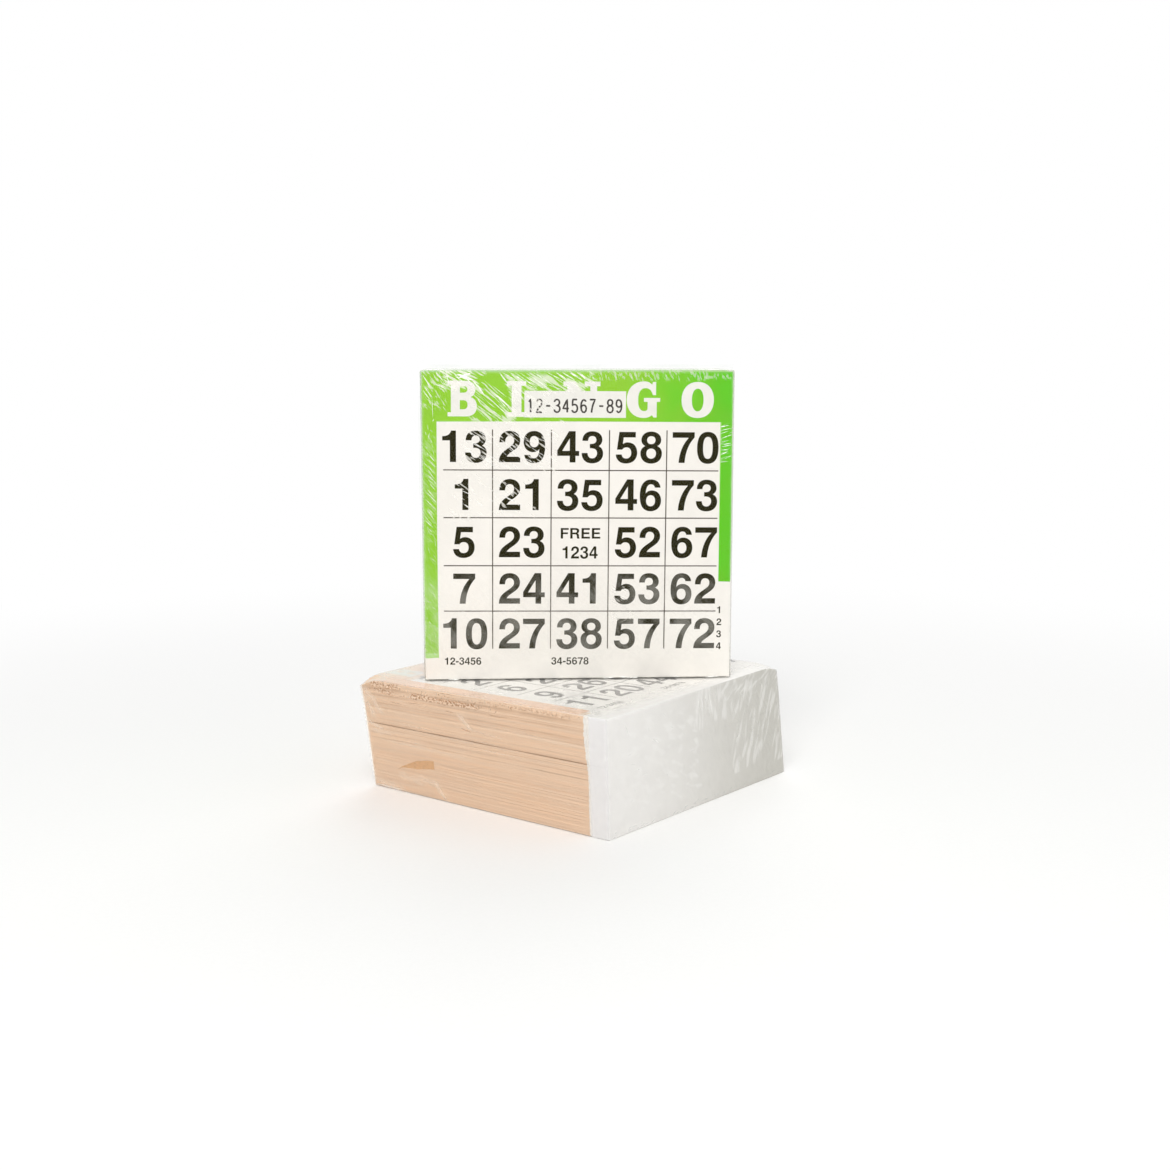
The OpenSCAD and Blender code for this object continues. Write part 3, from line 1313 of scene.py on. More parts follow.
@dataclass
class CardFace:
    """The print on a pack's face card."""

    pack: str
    body: str
    slot: str
    stack: StackFrame
    type: Typeface
    border: BorderInk
    ink: PrintInk
    numbers: tuple[tuple[int, ...], ...]
    tilt: float = -0.45
    shift: tuple[float, float] = (0.0, 0.0)
    nudge: tuple[float, float] = (0.0, 0.0)
    layer: float = 0.006
    lift: float = 0.003
    storey: float = 0.012
    margin: float = 0.08
    columns: tuple[float, ...] = (13.25, 32.3, 51.4, 70.65, 89.35)
    feet: tuple[float, ...] = (72.05, 56.3, 40.65, 25.1, 9.95)
    numeral: float = 10.25
    rule: float = 0.36
    upright_rules: tuple[float, ...] = (22.6, 41.85, 60.9, 79.8)
    level_rules: tuple[float, ...] = (69.45, 53.75, 37.8, 22.6)
    letters: tuple[tuple[str, float], ...] = (
        ("B", 8.0), ("I", 27.4), ("N", 45.7), ("G", 66.4), ("O", 84.4),
    )
    letter_foot: float = 86.9
    letter_cap: float = 11.55

    def build(self) -> list[bpy.types.Object]:
        """Builds every printed piece and puts it on the card.

        Returns:
            The pieces.
        """
        white = PrintInk(f"{self.pack}_bare_paper", srgb(232, 230, 224), 0.3, 0.04).material()
        stamp = PrintInk(f"{self.pack}_stamp_ink", srgb(72, 68, 64), 0.3, 0.2).material()
        ruled = PrintInk(f"{self.pack}_rule_ink", srgb(78, 70, 62), 0.3, 0.2).material()
        black = self.ink.material()
        coloured, over = Vector(self.shift), Vector(self.shift) + Vector(self.nudge)
        pieces = [
            (self.border_print(), self.border.material(), 0, coloured),
            (self.column_letters(), white, 1, coloured),
            (self.number_panel(), white, 2, coloured),
            (self.panel_digits(), stamp, 3, coloured),
            (self.numerals(), black, 0, over),
            (self.rules(), ruled, 0, over),
            (self.small_digits(), black, 0, over),
        ]
        made = []
        for piece, material, storey, shift in pieces:
            height = self.stack.depth + self.lift + storey * self.storey
            self.register(piece, shift.to_3d() + Vector((0, 0, height)))
            if storey == 0:
                Bench.crosscut(piece, self.stack.sag_cuts())
            self.stack.settle(piece)
            Bench.dress(piece, material)
            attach(piece, self.body)
            made.append(piece)
        return made

    def register(self, piece: bpy.types.Object, move: Vector) -> None:
        """Tilts and shifts a print as the sheet was cut, and keeps it on the card.

        Args:
            piece: The print.
            move: Its shift on the card and its height in the pack.
        """
        middle = Vector((self.stack.width / 2, self.stack.height / 2, 0))
        turn = Matrix.Rotation(math.radians(self.tilt), 4, "Z")
        moved = Matrix.Translation(middle + move) @ turn @ Matrix.Translation(-middle)
        piece.data.transform(moved)
        for vertex in piece.data.vertices:
            vertex.co.x = min(max(vertex.co.x, self.margin), self.stack.width - self.margin)
            vertex.co.y = min(max(vertex.co.y, self.margin), self.stack.height - self.margin)

    def patch(self, path: str, name: str) -> bpy.types.Object:
        """Prints one filled outline, given in the card's millimetres."""
        mesh = self.type.draw(name, path, self.layer, 2)
        return Bench.join([Bench.copy(mesh, Matrix.Identity(4))], f"{self.pack}_{name}")

    def border_print(self) -> bpy.types.Object:
        """The coloured head and side bands, drawn past the card's edges and cut there."""
        return self.patch("M-9 111 H111 V32.6 H97.7 V85.45 H4.4 V8.3 H-9 Z", "border_print")

    def column_letters(self) -> bpy.types.Object:
        """The five letters over the columns, left bare in the head band."""
        scale = self.letter_cap / self.type.SLAB_CAP
        made = []
        for letter, left in self.letters:
            mesh = self.type.draw(f"slab_{letter}", self.type.SLAB[letter], self.layer / scale)
            spot = Matrix.Translation((left, self.letter_foot, 0)) @ Matrix.Scale(scale, 4)
            made.append(Bench.copy(mesh, spot))
        return Bench.join(made, f"{self.pack}_column_letters")

    def number_panel(self) -> bpy.types.Object:
        """The bare panel in the head band that holds the pack's number."""
        return self.patch("M33 86.7 H66.2 V95.35 H33 Z", "number_panel")

    def panel_digits(self) -> bpy.types.Object:
        """Plain running digits on the panel."""
        made = self.type.stamped("12-34567-89", Vector((34.0, 88.4, 0)), 4.2, 2.89, 0.58, self.layer)
        return Bench.join(made, f"{self.pack}_panel_digits")

    def numerals(self) -> bpy.types.Object:
        """The numbers in the grid and the words of the free place."""
        made = []
        for foot, numbers in zip(self.feet, self.numbers):
            for column, number in zip(self.columns, numbers):
                spot = Vector((column, foot, 0))
                if number:
                    made += self.type.line(str(number), spot, self.numeral, self.layer)
                else:
                    made += self.type.line("FREE", spot + Vector((0.15, 6.25, 0)), 3.45, self.layer, 1.06)
                    made += self.type.line("1234", spot + Vector((0, -0.4, 0)), 4.05, self.layer, 0.96)
        return Bench.join(made, f"{self.pack}_numerals")

    def rules(self) -> bpy.types.Object:
        """The grid's ruled lines."""
        half = self.rule / 2
        lines = [((u - half, 9.9, 0), (u + half, 82.7, self.layer)) for u in self.upright_rules]
        lines += [((6.5, v - half, 0), (97.0, v + half, self.layer * 0.9)) for v in self.level_rules]
        made = [Bench.block(Vector(low), Vector(high), "rule") for low, high in lines]
        return Bench.join(made, f"{self.pack}_grid_rules")

    def small_digits(self) -> bpy.types.Object:
        """Small plain digits at the card's foot and beside the last column."""
        made = self.type.line("12-3456", Vector((12.7, 4.5, 0)), 2.45, self.layer, 0.98)
        made += self.type.line("34-5678", Vector((48.4, 4.5, 0)), 2.45, self.layer, 1.0)
        for step, digit in enumerate("1234"):
            made += self.type.line(digit, Vector((98.2, 21.9 - 4.1 * step, 0)), 2.3, self.layer)
        return Bench.join(made, f"{self.pack}_small_digits")


@dataclass
class BentCards:
    """The top cards of a stack, as the CAD has them, with their corners drawn down by the film."""

    node: str
    body: str
    slot: str
    stack: StackFrame
    paper: bpy.types.Material
    merge: float = 0.001 * MM

    def build(self) -> list[bpy.types.Object]:
        """Cuts a copy of the node's cards near the corners and bends it there.

        Returns:
            The piece.
        """
        s = self.stack
        made = Bench.copy(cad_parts[self.node].data, Matrix.Identity(4))
        made.name = made.data.name = f"{self.node}_bent"
        middle = Vector((s.width / 2, s.height / 2, 0))
        flat = s.place(middle + Vector((0, 0, s.depth)))
        cuts = []
        for point, normal in s.sag_cuts():
            way = s.across if normal.x else s.up
            cuts.append((flat + way * (point - middle).dot(normal) * MM, way))
        with Bench.editing(made):
            bpy.ops.mesh.remove_doubles(threshold=self.merge)
        Bench.crosscut(made, cuts)
        for vertex in made.data.vertices:
            vertex.co -= s.out * (s.sag(s.locate(vertex.co)) * MM)
        Bench.dress(made, self.paper)
        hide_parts(self.node)
        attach(made, self.body)
        return [made]


@dataclass(frozen=True)
class CreaseField:
    """A patch of film where creases lie, in millimetres on one side of the pack."""

    side: Side
    across: tuple[float, float]
    up: tuple[float, float]
    count: int
    angle: float
    fan: float
    length: tuple[float, float]
    width: tuple[float, float]
    tone: Tone = Tone.BRIGHT


@dataclass(frozen=True)
class Crease:
    """One crease from end to end, in millimetres on one side of the pack."""

    side: Side
    ends: tuple[float, float, float, float]
    width: float
    tone: Tone = Tone.BRIGHT


@dataclass
class FilmWrap:
    """The shrink film of one pack: the sheet, its trim seal and its creases."""

    pack: str
    body: str
    film: ClearFilm
    fields: tuple[CreaseField, ...]
    single: tuple[Crease, ...]
    seal_cover: float
    deep_tint: Colour
    seed: int
    folds: tuple[str, ...] = ()
    pale_tint: Colour = srgb(252, 252, 248)
    soft_tint: Colour = srgb(243, 220, 197)
    fold_tint: Colour = srgb(208, 158, 107)
    slot: str = "clear_film"
    radius: float = 0.6
    seal_reach: float = 1.6
    seal_level: float = 0.61
    seal_half: float = 0.05
    slack: float = 0.12
    slices: tuple[int, int, int] = (22, 22, 9)
    leg_slices: int = 70

    @property
    def stack(self) -> StackFrame:
        """The stack in the film."""
        return self.film.stack

    def build(self) -> list[bpy.types.Object]:
        """Builds the film's pieces.

        Returns:
            The pieces.
        """
        sheet = self.sheet()
        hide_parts(f"{self.pack}_film")
        made = [
            (sheet, self.film),
            (self.trim_seal(), FilmCrease(f"{self.pack}_seal_film", self.seal_cover, whole=0.8)),
        ]
        # Cover, tint and mirror of each tone: pale tints are painted highlights, the dark tint painted shade.
        finishes = {
            Tone.BRIGHT: (0.9, self.pale_tint, 0.2),
            Tone.FAINT: (0.42, self.pale_tint, 0.2),
            Tone.VEIL: (0.18, self.pale_tint, 0.1),
            Tone.SOFT: (0.35, self.soft_tint, 0.0),
            Tone.DEEP: (0.65, self.deep_tint, 0.0),
        }
        for tone, finish in finishes.items():
            piece = self.creases(tone)
            if piece:
                made.append((piece, FilmCrease(f"{self.pack}_{tone.value}", *finish)))
        if self.folds:
            fold_shade_finish = FilmCrease(f"{self.pack}_fold_tint", 0.8, self.fold_tint, 0.0, 0.85)
            made.append((self.fold_patches(), fold_shade_finish))
        for piece, finish in made:
            self.stack.settle(piece)
            Bench.dress(piece, finish.material())
            Bench.take(piece)
            bpy.ops.object.shade_smooth_by_angle(angle=math.radians(50))
            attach(piece, self.body)
        return [piece for piece, _ in made]

    def reach(self) -> tuple[Vector, Vector]:
        """Lowest and highest corner of the film in the pack's millimetres."""
        s = self.stack
        gap = Vector((EDGE_GAP, EDGE_GAP, FACE_GAP))
        return -gap, Vector((s.width, s.height, s.depth)) + gap

    def sheet(self) -> bpy.types.Object:
        """The film drawn over the stack, with soft edges and a little slack between them."""
        low, high = self.reach()
        made = Bench.block(low, high, f"{self.pack}_film_sheet")
        Bench.modify(made, "BEVEL", width=self.radius, segments=4, limit_method="NONE")
        with Bench.editing(made):
            Bench.slice(low, high, self.slices)
        Bench.crosscut(made, self.stack.sag_cuts())
        for vertex in made.data.vertices:
            self.slacken(vertex, low, high)
        return made

    def slacken(self, vertex: bpy.types.MeshVertex, low: Vector, high: Vector) -> None:
        """Lifts a point of a flat side a little off the stack.

        Args:
            vertex: The point.
            low: Lowest corner of the film.
            high: Highest corner of the film.
        """
        co = vertex.co
        for axis in range(3):
            for limit, way in ((low[axis], -1), (high[axis], 1)):
                rest = [a for a in range(3) if a != axis]
                inset = min(min(co[a] - low[a], high[a] - co[a]) for a in rest)
                if abs(co[axis] - limit) < 1e-4 and inset > self.radius:
                    a, b = co[rest[0]], co[rest[1]]
                    slow, quick = math.sin(a * 0.21 + b * 0.17 + axis), math.sin(a * 0.13 - b * 0.29)
                    wave = 0.5 + 0.25 * slow + 0.25 * quick
                    rests = axis > 0 and way < 0
                    co[axis] += 0 if rests else way * self.slack * wave * min(1, (inset - self.radius) / 8)
                    return

    def trim_seal(self) -> bpy.types.Object:
        """The seal's thin frill round the left, head and right sides."""
        low, high = self.reach()
        level = low.z + (high.z - low.z) * self.seal_level
        foot = low.y + self.radius
        inner, outer = (
            [Vector((low.x - r, foot)), Vector((low.x - r, high.y + r)),
             Vector((high.x + r, high.y + r)), Vector((high.x + r, foot))]
            for r in (0, self.seal_reach)
        )
        legs = len(inner) - 1
        thick = Vector((0, 0, self.seal_half))
        made = Bench.block(-thick, Vector((1, 1, 0)) + thick, f"{self.pack}_trim_seal")
        with Bench.editing(made):
            Bench.slice(Vector((0, 0, 0)), Vector((1, 1, 0)), (legs * self.leg_slices, 4, 1))
        dice = random.Random(self.seed)
        waves = [(dice.uniform(0.08, 0.5), dice.uniform(0, 6.3), dice.uniform(0.08, 0.22)) for _ in range(5)]
        for vertex in made.data.vertices:
            along = min(vertex.co.x * legs, legs - 1e-6)
            leg, share = int(along), along - int(along)
            near = inner[leg].lerp(inner[leg + 1], share)
            far = outer[leg].lerp(outer[leg + 1], share)
            spot = near.lerp(far, vertex.co.y)
            way = vertex.co.x * 300
            frill = sum(size * math.sin(way * rate + phase) for rate, phase, size in waves)
            vertex.co = Vector((spot.x, spot.y, level + vertex.co.z + frill * vertex.co.y ** 2))
        return made

    def fold_patches(self) -> bpy.types.Object:
        """Patches of painted shade under the small folds on the left side."""
        spot = self.side_frame(Side.LEFT) @ Matrix.Translation((0, 0, self.slack + 0.04))
        made = [Bench.copy(Typeface.draw("fold", path, 0.03, 4), spot) for path in self.folds]
        return Bench.join(made, f"{self.pack}_fold_patches")

    @staticmethod
    def crease_model() -> bpy.types.Mesh:
        """One crease: a slim closed spindle along X, a unit long and a unit wide, half in the film."""
        Bench.clear()
        bpy.ops.mesh.primitive_uv_sphere_add(segments=6, ring_count=7, radius=0.5)
        made = bpy.context.object
        with Bench.editing(made):
            bpy.ops.transform.rotate(value=math.pi / 2, orient_axis="Y", center_override=(0, 0, 0))
        for vertex in made.data.vertices:
            slim = (1 - abs(2 * vertex.co.x)) ** 0.5 * 0.7 + 0.3
            vertex.co.y *= slim
            vertex.co.z *= slim
        mesh = made.data
        bpy.data.objects.remove(made)
        return mesh

    def side_frame(self, side: Side) -> Matrix:
        """Gives a matrix from a side's own across, up and out millimetres to the pack's.

        Args:
            side: The side.

        Returns:
            The matrix.
        """
        low, high = self.reach()
        x, y, z = Vector((1, 0, 0)), Vector((0, 1, 0)), Vector((0, 0, 1))
        origin, across, up = {
            Side.FACE: (Vector((0, 0, high.z)), x, y),
            Side.BACK: (Vector((high.x, 0, low.z)), -x, y),
            Side.LEFT: (Vector((low.x, high.y, 0)), -y, z),
            Side.RIGHT: (Vector((high.x, 0, 0)), y, z),
            Side.HEAD: (Vector((high.x, high.y, 0)), -x, z),
            Side.FOOT: (Vector((0, low.y, 0)), x, z),
        }[side]
        made = Matrix.Identity(4)
        for column, vector in enumerate((across, up, across.cross(up), origin)):
            made.col[column].xyz = vector
        return made

    @staticmethod
    def draw_crease(spread: CreaseField, order: int, dice: random.Random) -> Crease:
        """Draws one crease of a field.

        Args:
            spread: The field.
            order: Which of the field's creases it is.
            dice: Where the chance comes from.

        Returns:
            The crease.
        """
        low, high = spread.up
        x = dice.uniform(*spread.across)
        y = low + (high - low) * (order + dice.random()) / spread.count
        turn = math.radians(spread.angle + dice.gauss(0, spread.fan))
        half = dice.uniform(*spread.length) / 2
        dx, dy = half * math.cos(turn), half * math.sin(turn)
        return Crease(spread.side, (x - dx, y - dy, x + dx, y + dy), dice.uniform(*spread.width), spread.tone)

    def creases(self, tone: Tone) -> bpy.types.Object | None:
        """Lays the creases of one tone.

        Args:
            tone: The tone.

        Returns:
            The creases as one piece, or nothing where the pack has none.
        """
        model = self.crease_model()
        dice = random.Random(self.seed + len(tone.value))
        drawn = [c for c in self.single if c.tone is tone]
        for spread in self.fields:
            if spread.tone is tone:
                drawn += [self.draw_crease(spread, order, dice) for order in range(spread.count)]
        made = []
        for crease in drawn:
            flat = crease.side in (Side.FACE, Side.BACK)
            top = (self.stack.height if flat else self.stack.depth) - 0.2
            foot = -0.25 if crease.side is Side.FACE else 0.3
            start, end = (
                Vector((min(max(x, 0.2), self.stack.width + 0.1), min(max(y, foot), top), 0))
                for x, y in (crease.ends[:2], crease.ends[2:])
            )
            long = (end - start).length
            if long < 0.3:
                continue
            turn = math.atan2(end.y - start.y, end.x - start.x)
            size = Matrix.Diagonal((long, crease.width, min(crease.width, 0.5) * 0.5, 1))
            spot = Matrix.Translation((start + end) / 2) @ Matrix.Rotation(turn, 4, "Z") @ size
            made.append(Bench.copy(model, self.side_frame(crease.side) @ spot))
        return Bench.join(made, f"{self.pack}_{tone.value}") if made else None


@dataclass
class Studio:
    """The camera, the lamps, the floor and the white surroundings."""

    eye: Vector = field(default_factory=lambda: Vector((-26.3, -546.0, 151.95)) * MM)
    heading: float = 2.86
    dip: float = 8.64
    focal_pixels: float = 1600.0
    frame_pixels: float = 1170.0
    ambient: float = 0.56
    target: Vector = field(default_factory=lambda: Vector((0, 0, 60)) * MM)

    def build(self) -> None:
        """Sets the stage."""
        scene = bpy.context.scene
        scene.view_settings.view_transform = "Standard"
        self.camera(scene)
        self.surroundings(scene)
        self.lamp("key_lamp", Vector((-0.2, -1.12, 1.12)), 0.7, 12.5)
        self.lamp("fill_lamp", Vector((0.9, -0.7, 0.6)), 0.8, 0.6)
        self.lamp("back_lamp", Vector((0.2, 0.9, 0.9)), 0.8, 3.0)
        self.floor()

    def camera(self, scene: bpy.types.Scene) -> None:
        """Puts the camera where the photograph was taken from."""
        lens = bpy.data.cameras.new("photo_camera")
        lens.sensor_width = 36.0
        lens.lens = lens.sensor_width * self.focal_pixels / self.frame_pixels
        lens.clip_start = 0.01
        made = bpy.data.objects.new("photo_camera", lens)
        made.location = self.eye
        made.rotation_euler = (math.radians(90 - self.dip), 0.0, math.radians(-self.heading))
        scene.collection.objects.link(made)
        scene.camera = made

    def surroundings(self, scene: bpy.types.Scene) -> None:
        """Makes the world white to the eye and a plain soft light to the object."""
        scene.world = bpy.data.worlds.new("studio_world")
        g = Graph(scene.world)
        strength = g.seen() * (1 - self.ambient) + self.ambient
        g.finish(g.node("ShaderNodeBackground", None, {"Color": (1.0, 1.0, 1.0, 1.0), "Strength": strength}))

    def lamp(self, name: str, spot: Vector, size: float, power: float) -> None:
        """Adds a soft square lamp that looks at the object.

        Args:
            name: The lamp's name.
            spot: Where it hangs.
            size: Its side in metres.
            power: Its power in watts.
        """
        data = bpy.data.lights.new(name, "AREA")
        data.size = size
        data.energy = power
        made = bpy.data.objects.new(name, data)
        made.location = spot
        made.rotation_mode = "QUATERNION"
        made.rotation_quaternion = (self.target - spot).to_track_quat("-Z", "Y")
        bpy.context.scene.collection.objects.link(made)

    @staticmethod
    def floor() -> None:
        """Lays the pale floor."""
        Bench.clear()
        bpy.ops.mesh.primitive_plane_add(size=6, location=(0, 0, -0.02 * MM))
        made = bpy.context.object
        made.name = "floor"
        bpy.ops.object.transform_apply(location=True, rotation=True, scale=True)
        Bench.dress(made, FloorFinish("pale_floor").material())


def dress_cards(pack: str, paper: bpy.types.Material) -> None:
    """Gives a pack's CAD cards their paper.

    Args:
        pack: The pack's name.
        paper: The material.
    """
    for name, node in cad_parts.items():
        if name.startswith(pack) and not name.endswith("film"):
            for place in node.material_slots:
                place.material = paper


# Millimetres that the creases of an unseen side run in from its corners, across and up, and their slant.
CORNER_REACH = (9, 7)
CORNER_SLANT = 42


def unseen_fields(sides: tuple[Side, ...]) -> tuple[CreaseField, ...]:
    """Gives plain creases for sides that the photograph doesn't show.

    Args:
        sides: The sides.

    Returns:
        Creases that run in from each corner, and gathers along the trim seal.
    """
    made = []
    for side in sides:
        flat = side in (Side.FACE, Side.BACK)
        top = 101.0 if flat else 39.6
        for x, slant in ((1, 1), (101, -1)):
            for y, rise in ((0.5, 1), (top, -1)):
                across = tuple(sorted((x, x + CORNER_REACH[0] * slant)))
                up = tuple(sorted((y, y + CORNER_REACH[1] * rise)))
                angle = CORNER_SLANT * slant * rise
                made.append(CreaseField(side, across, up, 9, angle, 14, (2.0, 7.0), (0.2, 0.45)))
                made.append(CreaseField(side, across, up, 5, angle, 12, (5.0, 11.0), (0.8, 1.8), Tone.FAINT))
        if side in (Side.LEFT, Side.RIGHT, Side.HEAD):
            gathers = CreaseField(side, (3, 99), (21, 27), 40, 90, 12, (1.0, 4.0), (0.15, 0.4), Tone.FAINT)
            made.append(gathers)
    return tuple(made)


UPRIGHT_NUMBERS = (
    (13, 29, 43, 58, 70), (1, 21, 35, 46, 73), (5, 23, 0, 52, 67), (7, 24, 41, 53, 62), (10, 27, 38, 57, 72),
)
LOWER_NUMBERS = (
    (14, 30, 41, 55, 62), (2, 17, 33, 47, 75), (6, 22, 0, 60, 68), (9, 26, 39, 51, 71), (11, 20, 44, 58, 64),
)
UPRIGHT_GLINT_STREAKS = tuple(Streaks(*row) for row in (
    ((0, 8), (89, 101.6), -52, 0.6, 3.5, 0.54, 0.5),
    ((5, 21), (96, 101.8), -30, 0.75, 6, 0.49, 0.65),
    ((16, 31), (85.5, 98), -42, 0.8, 8, 0.53, 0.6),
    ((28, 57), (95.5, 101.8), -34, 1.0, 9, 0.51, 0.6),
    ((28, 42), (88, 96), -40, 0.8, 7, 0.52, 0.6),
    ((52, 101), (98.8, 101.8), -72, 0.8, 2.5, 0.53, 0.35, 2.0),
    ((13, 45), (70, 84), -37, 0.8, 6, 0.57, 0.6),
    ((9, 37), (54, 68), -40, 0.9, 5, 0.61, 0.6),
    ((-1, 4.7), (46, 81), -50, 0.5, 4, 0.5, 0.15, 0.0),
    ((-1, 4.7), (8, 46), -54, 0.5, 4, 0.53, 0.08, 0.0),
    ((97.2, 102), (72, 85), 14, 0.7, 5, 0.56, 0.22, 0.0),
    ((62, 67), (25, 31), -30, 0.7, 4, 0.54, 0.28, 1.0),
    ((62, 69), (19, 23), 35, 0.7, 4, 0.54, 0.28, 1.0),
))
LOWER_GLINT_STREAKS = tuple(Streaks(*row, side=Side.FOOT, soft=0.2) for row in (
    ((48, 67), (27, 41), 85, 1.9, 10, 0.44, 0.42),
    ((70, 102), (6, 38), 66, 2.1, 10, 0.48, 0.4),
    ((66, 102), (33, 41), 30, 1.8, 7, 0.46, 0.4),
    ((4, 50), (6, 36), -20, 3.0, 6, 0.5, 0.4),
))
# Broad fold milk on the left side, part doubled film and part painted highlight.
LOWER_SOFT_FOLDS = tuple(SoftFold(*row) for row in (
    ((0.5, 38.0), (8.8, 28.0), 2.2, 0.28), ((1.0, 35.0), (4.6, 26.0), 1.6, 0.28),
    ((0.5, 24.4), (8.0, 22.6), 1.3, 0.35), ((1.0, 21.4), (12.0, 21.0), 1.2, 0.25),
    ((42.6, 33.4), (48.4, 28.0), 1.4, 0.32), ((12.0, 6.6), (25.0, 4.6), 2.2, 0.2),
    ((20.0, 7.2), (31.0, 5.4), 1.8, 0.25), ((29.0, 6.4), (34.0, 0.4), 1.6, 0.32),
    ((1.0, 2.4), (15.0, 0.2), 1.8, 0.3), ((0.2, 39.0), (0.2, 0.0), 1.4, 0.4),
    ((52.0, 30.6), (98.0, 29.4), 1.2, 0.12), ((6.0, 18.6), (46.0, 18.0), 1.2, 0.15),
))
UPRIGHT_FIELDS = tuple(CreaseField(Side.FACE, *row) for row in (
    ((5, 20), (97, 101), 6, -40, 20, (1.5, 4.0), (0.15, 0.35)),
    ((18, 29), (86, 96), 7, -42, 5, (3.0, 8.0), (0.1, 0.24)),
    ((28, 52), (96, 101.5), 9, -33, 5, (3.0, 8.0), (0.12, 0.26)),
    ((15, 22), (71, 83), 8, -37, 6, (3.0, 7.0), (0.15, 0.3)),
    ((24, 43), (71, 83), 22, -37, 4, (2.0, 6.0), (0.15, 0.3)),
    ((1.4, 3.4), (50, 74), 20, -50, 5, (2.6, 4.4), (0.12, 0.26)),
    ((1.2, 3.8), (22, 50), 12, -54, 8, (1.6, 4.0), (0.12, 0.24), Tone.FAINT),
    ((0.6, 4.4), (8, 24), 12, -60, 30, (0.5, 1.4), (0.15, 0.35), Tone.FAINT),
    ((1, 4.2), (74, 86), 10, -80, 20, (0.8, 2.5), (0.12, 0.26)),
    ((52, 101), (99.2, 101.4), 30, -72, 12, (0.8, 2.2), (0.12, 0.24), Tone.FAINT),
    ((98.6, 100.4), (72, 84.5), 11, 14, 6, (2.6, 4.0), (0.16, 0.3)),
    ((12, 34), (54, 68), 9, -40, 10, (1.5, 5.0), (0.12, 0.26)),
    # Short painted highlights along the foot that break up the contact shadow.
    ((1, 100), (-0.25, 0.0), 7, 0, 2, (1.5, 5.0), (0.3, 0.5)),
))
UPRIGHT_SINGLE = tuple(
    Crease(Side.FACE, ends, width) for *ends, width in (
        (0.4, 100.6, 2.9, 96.6, 0.3), (0.5, 97.2, 3.6, 93.2, 0.28), (0.4, 95.6, 2.6, 92.8, 0.25),
        (3.3, 94.0, 3.5, 86.6, 0.2), (4.9, 101.2, 7.2, 98.4, 0.35), (4.6, 97.6, 8.2, 96.0, 0.3),
        (11.2, 100.9, 16.8, 98.9, 1.1), (12.0, 99.6, 16.0, 101.2, 0.9), (10.4, 101.4, 12.6, 98.8, 0.5),
        (16.6, 98.8, 20.3, 94.2, 0.7), (18.2, 97.4, 20.4, 93.6, 0.35), (20.4, 94.4, 28.4, 87.0, 0.26),
        (22.0, 96.2, 28.6, 90.2, 0.24), (23.6, 94.6, 28.2, 90.4, 0.6), (24.6, 93.2, 28.4, 88.8, 0.3),
        (18.4, 90.4, 24.4, 86.2, 0.26), (20.0, 91.4, 26.6, 86.2, 0.24), (17.6, 93.8, 19.4, 90.8, 0.24),
        (25.2, 101.4, 28.4, 97.2, 0.5), (26.2, 101.4, 31.0, 98.6, 0.28), (28.6, 101.5, 33.4, 98.4, 0.3),
        (30.2, 101.5, 37.6, 96.2, 0.34), (31.8, 101.4, 39.6, 96.0, 0.24), (33.6, 101.4, 42.2, 95.6, 0.34),
        (36.8, 101.4, 43.4, 96.8, 0.24), (40.8, 101.4, 46.4, 98.4, 0.3), (43.6, 101.4, 47.0, 99.2, 0.45),
        (45.6, 101.4, 49.8, 98.9, 0.4), (47.8, 101.4, 52.4, 98.8, 0.45), (50.4, 101.4, 53.6, 99.4, 0.26),
        (33.4, 98.0, 38.0, 95.6, 0.28), (41.0, 97.4, 45.8, 95.7, 0.22), (99.6, 83.8, 97.6, 83.6, 0.3),
        (13.4, 76.9, 19.8, 72.8, 0.3), (15.6, 79.4, 21.4, 75.6, 0.32), (17.8, 82.8, 20.6, 80.8, 0.3),
        (25.0, 61.8, 31.4, 58.6, 0.32), (12.6, 63.0, 15.6, 61.6, 0.28), (12.8, 58.9, 15.2, 57.0, 0.28),
    )
)
LOWER_FIELDS = tuple(CreaseField(Side.LEFT, *row) for row in (
    ((4, 36), (35.8, 39.2), 26, 84, 24, (0.5, 1.5), (0.15, 0.4), Tone.SOFT),
    ((36, 64), (36.6, 39.4), 22, 84, 24, (0.5, 1.4), (0.15, 0.4), Tone.SOFT),
    ((64, 94), (38.2, 39.6), 12, 84, 24, (0.4, 1.0), (0.15, 0.3), Tone.SOFT),
    ((4, 62), (35.8, 38.8), 30, 82, 30, (0.4, 1.2), (0.2, 0.5), Tone.DEEP),
    ((62, 94), (38.0, 39.4), 18, 80, 30, (0.4, 0.9), (0.2, 0.4), Tone.DEEP),
    ((4, 62), (32.5, 39.4), 14, 0, 3, (3.0, 12.0), (0.12, 0.3), Tone.DEEP),
    ((4, 96), (17.5, 32), 6, -1, 2, (6.0, 20.0), (0.2, 0.5), Tone.SOFT),
)) + tuple(CreaseField(Side.FOOT, *row) for row in (
    ((48, 64), (31, 39), 12, 88, 6, (2.0, 6.0), (0.2, 0.6), Tone.VEIL),
    ((70, 100), (8, 36), 34, 64, 10, (2.0, 7.0), (0.2, 0.6), Tone.VEIL),
    ((4, 48), (8, 36), 14, -30, 30, (1.0, 3.0), (0.2, 0.5), Tone.VEIL),
    ((2, 100), (0.4, 2.0), 40, 12, 16, (1.0, 3.5), (0.12, 0.3), Tone.FAINT),
))
# Painted shade under a small fold on the left side, outlined in millimetres.
LOWER_FOLD_SHADE_PATCHES = ("M12.6 8.1 L15.5 9.9 L22 12.8 L27 13.8 L30.3 14.2 V11.2 L22 9.8 L15.5 9.4 Z",)
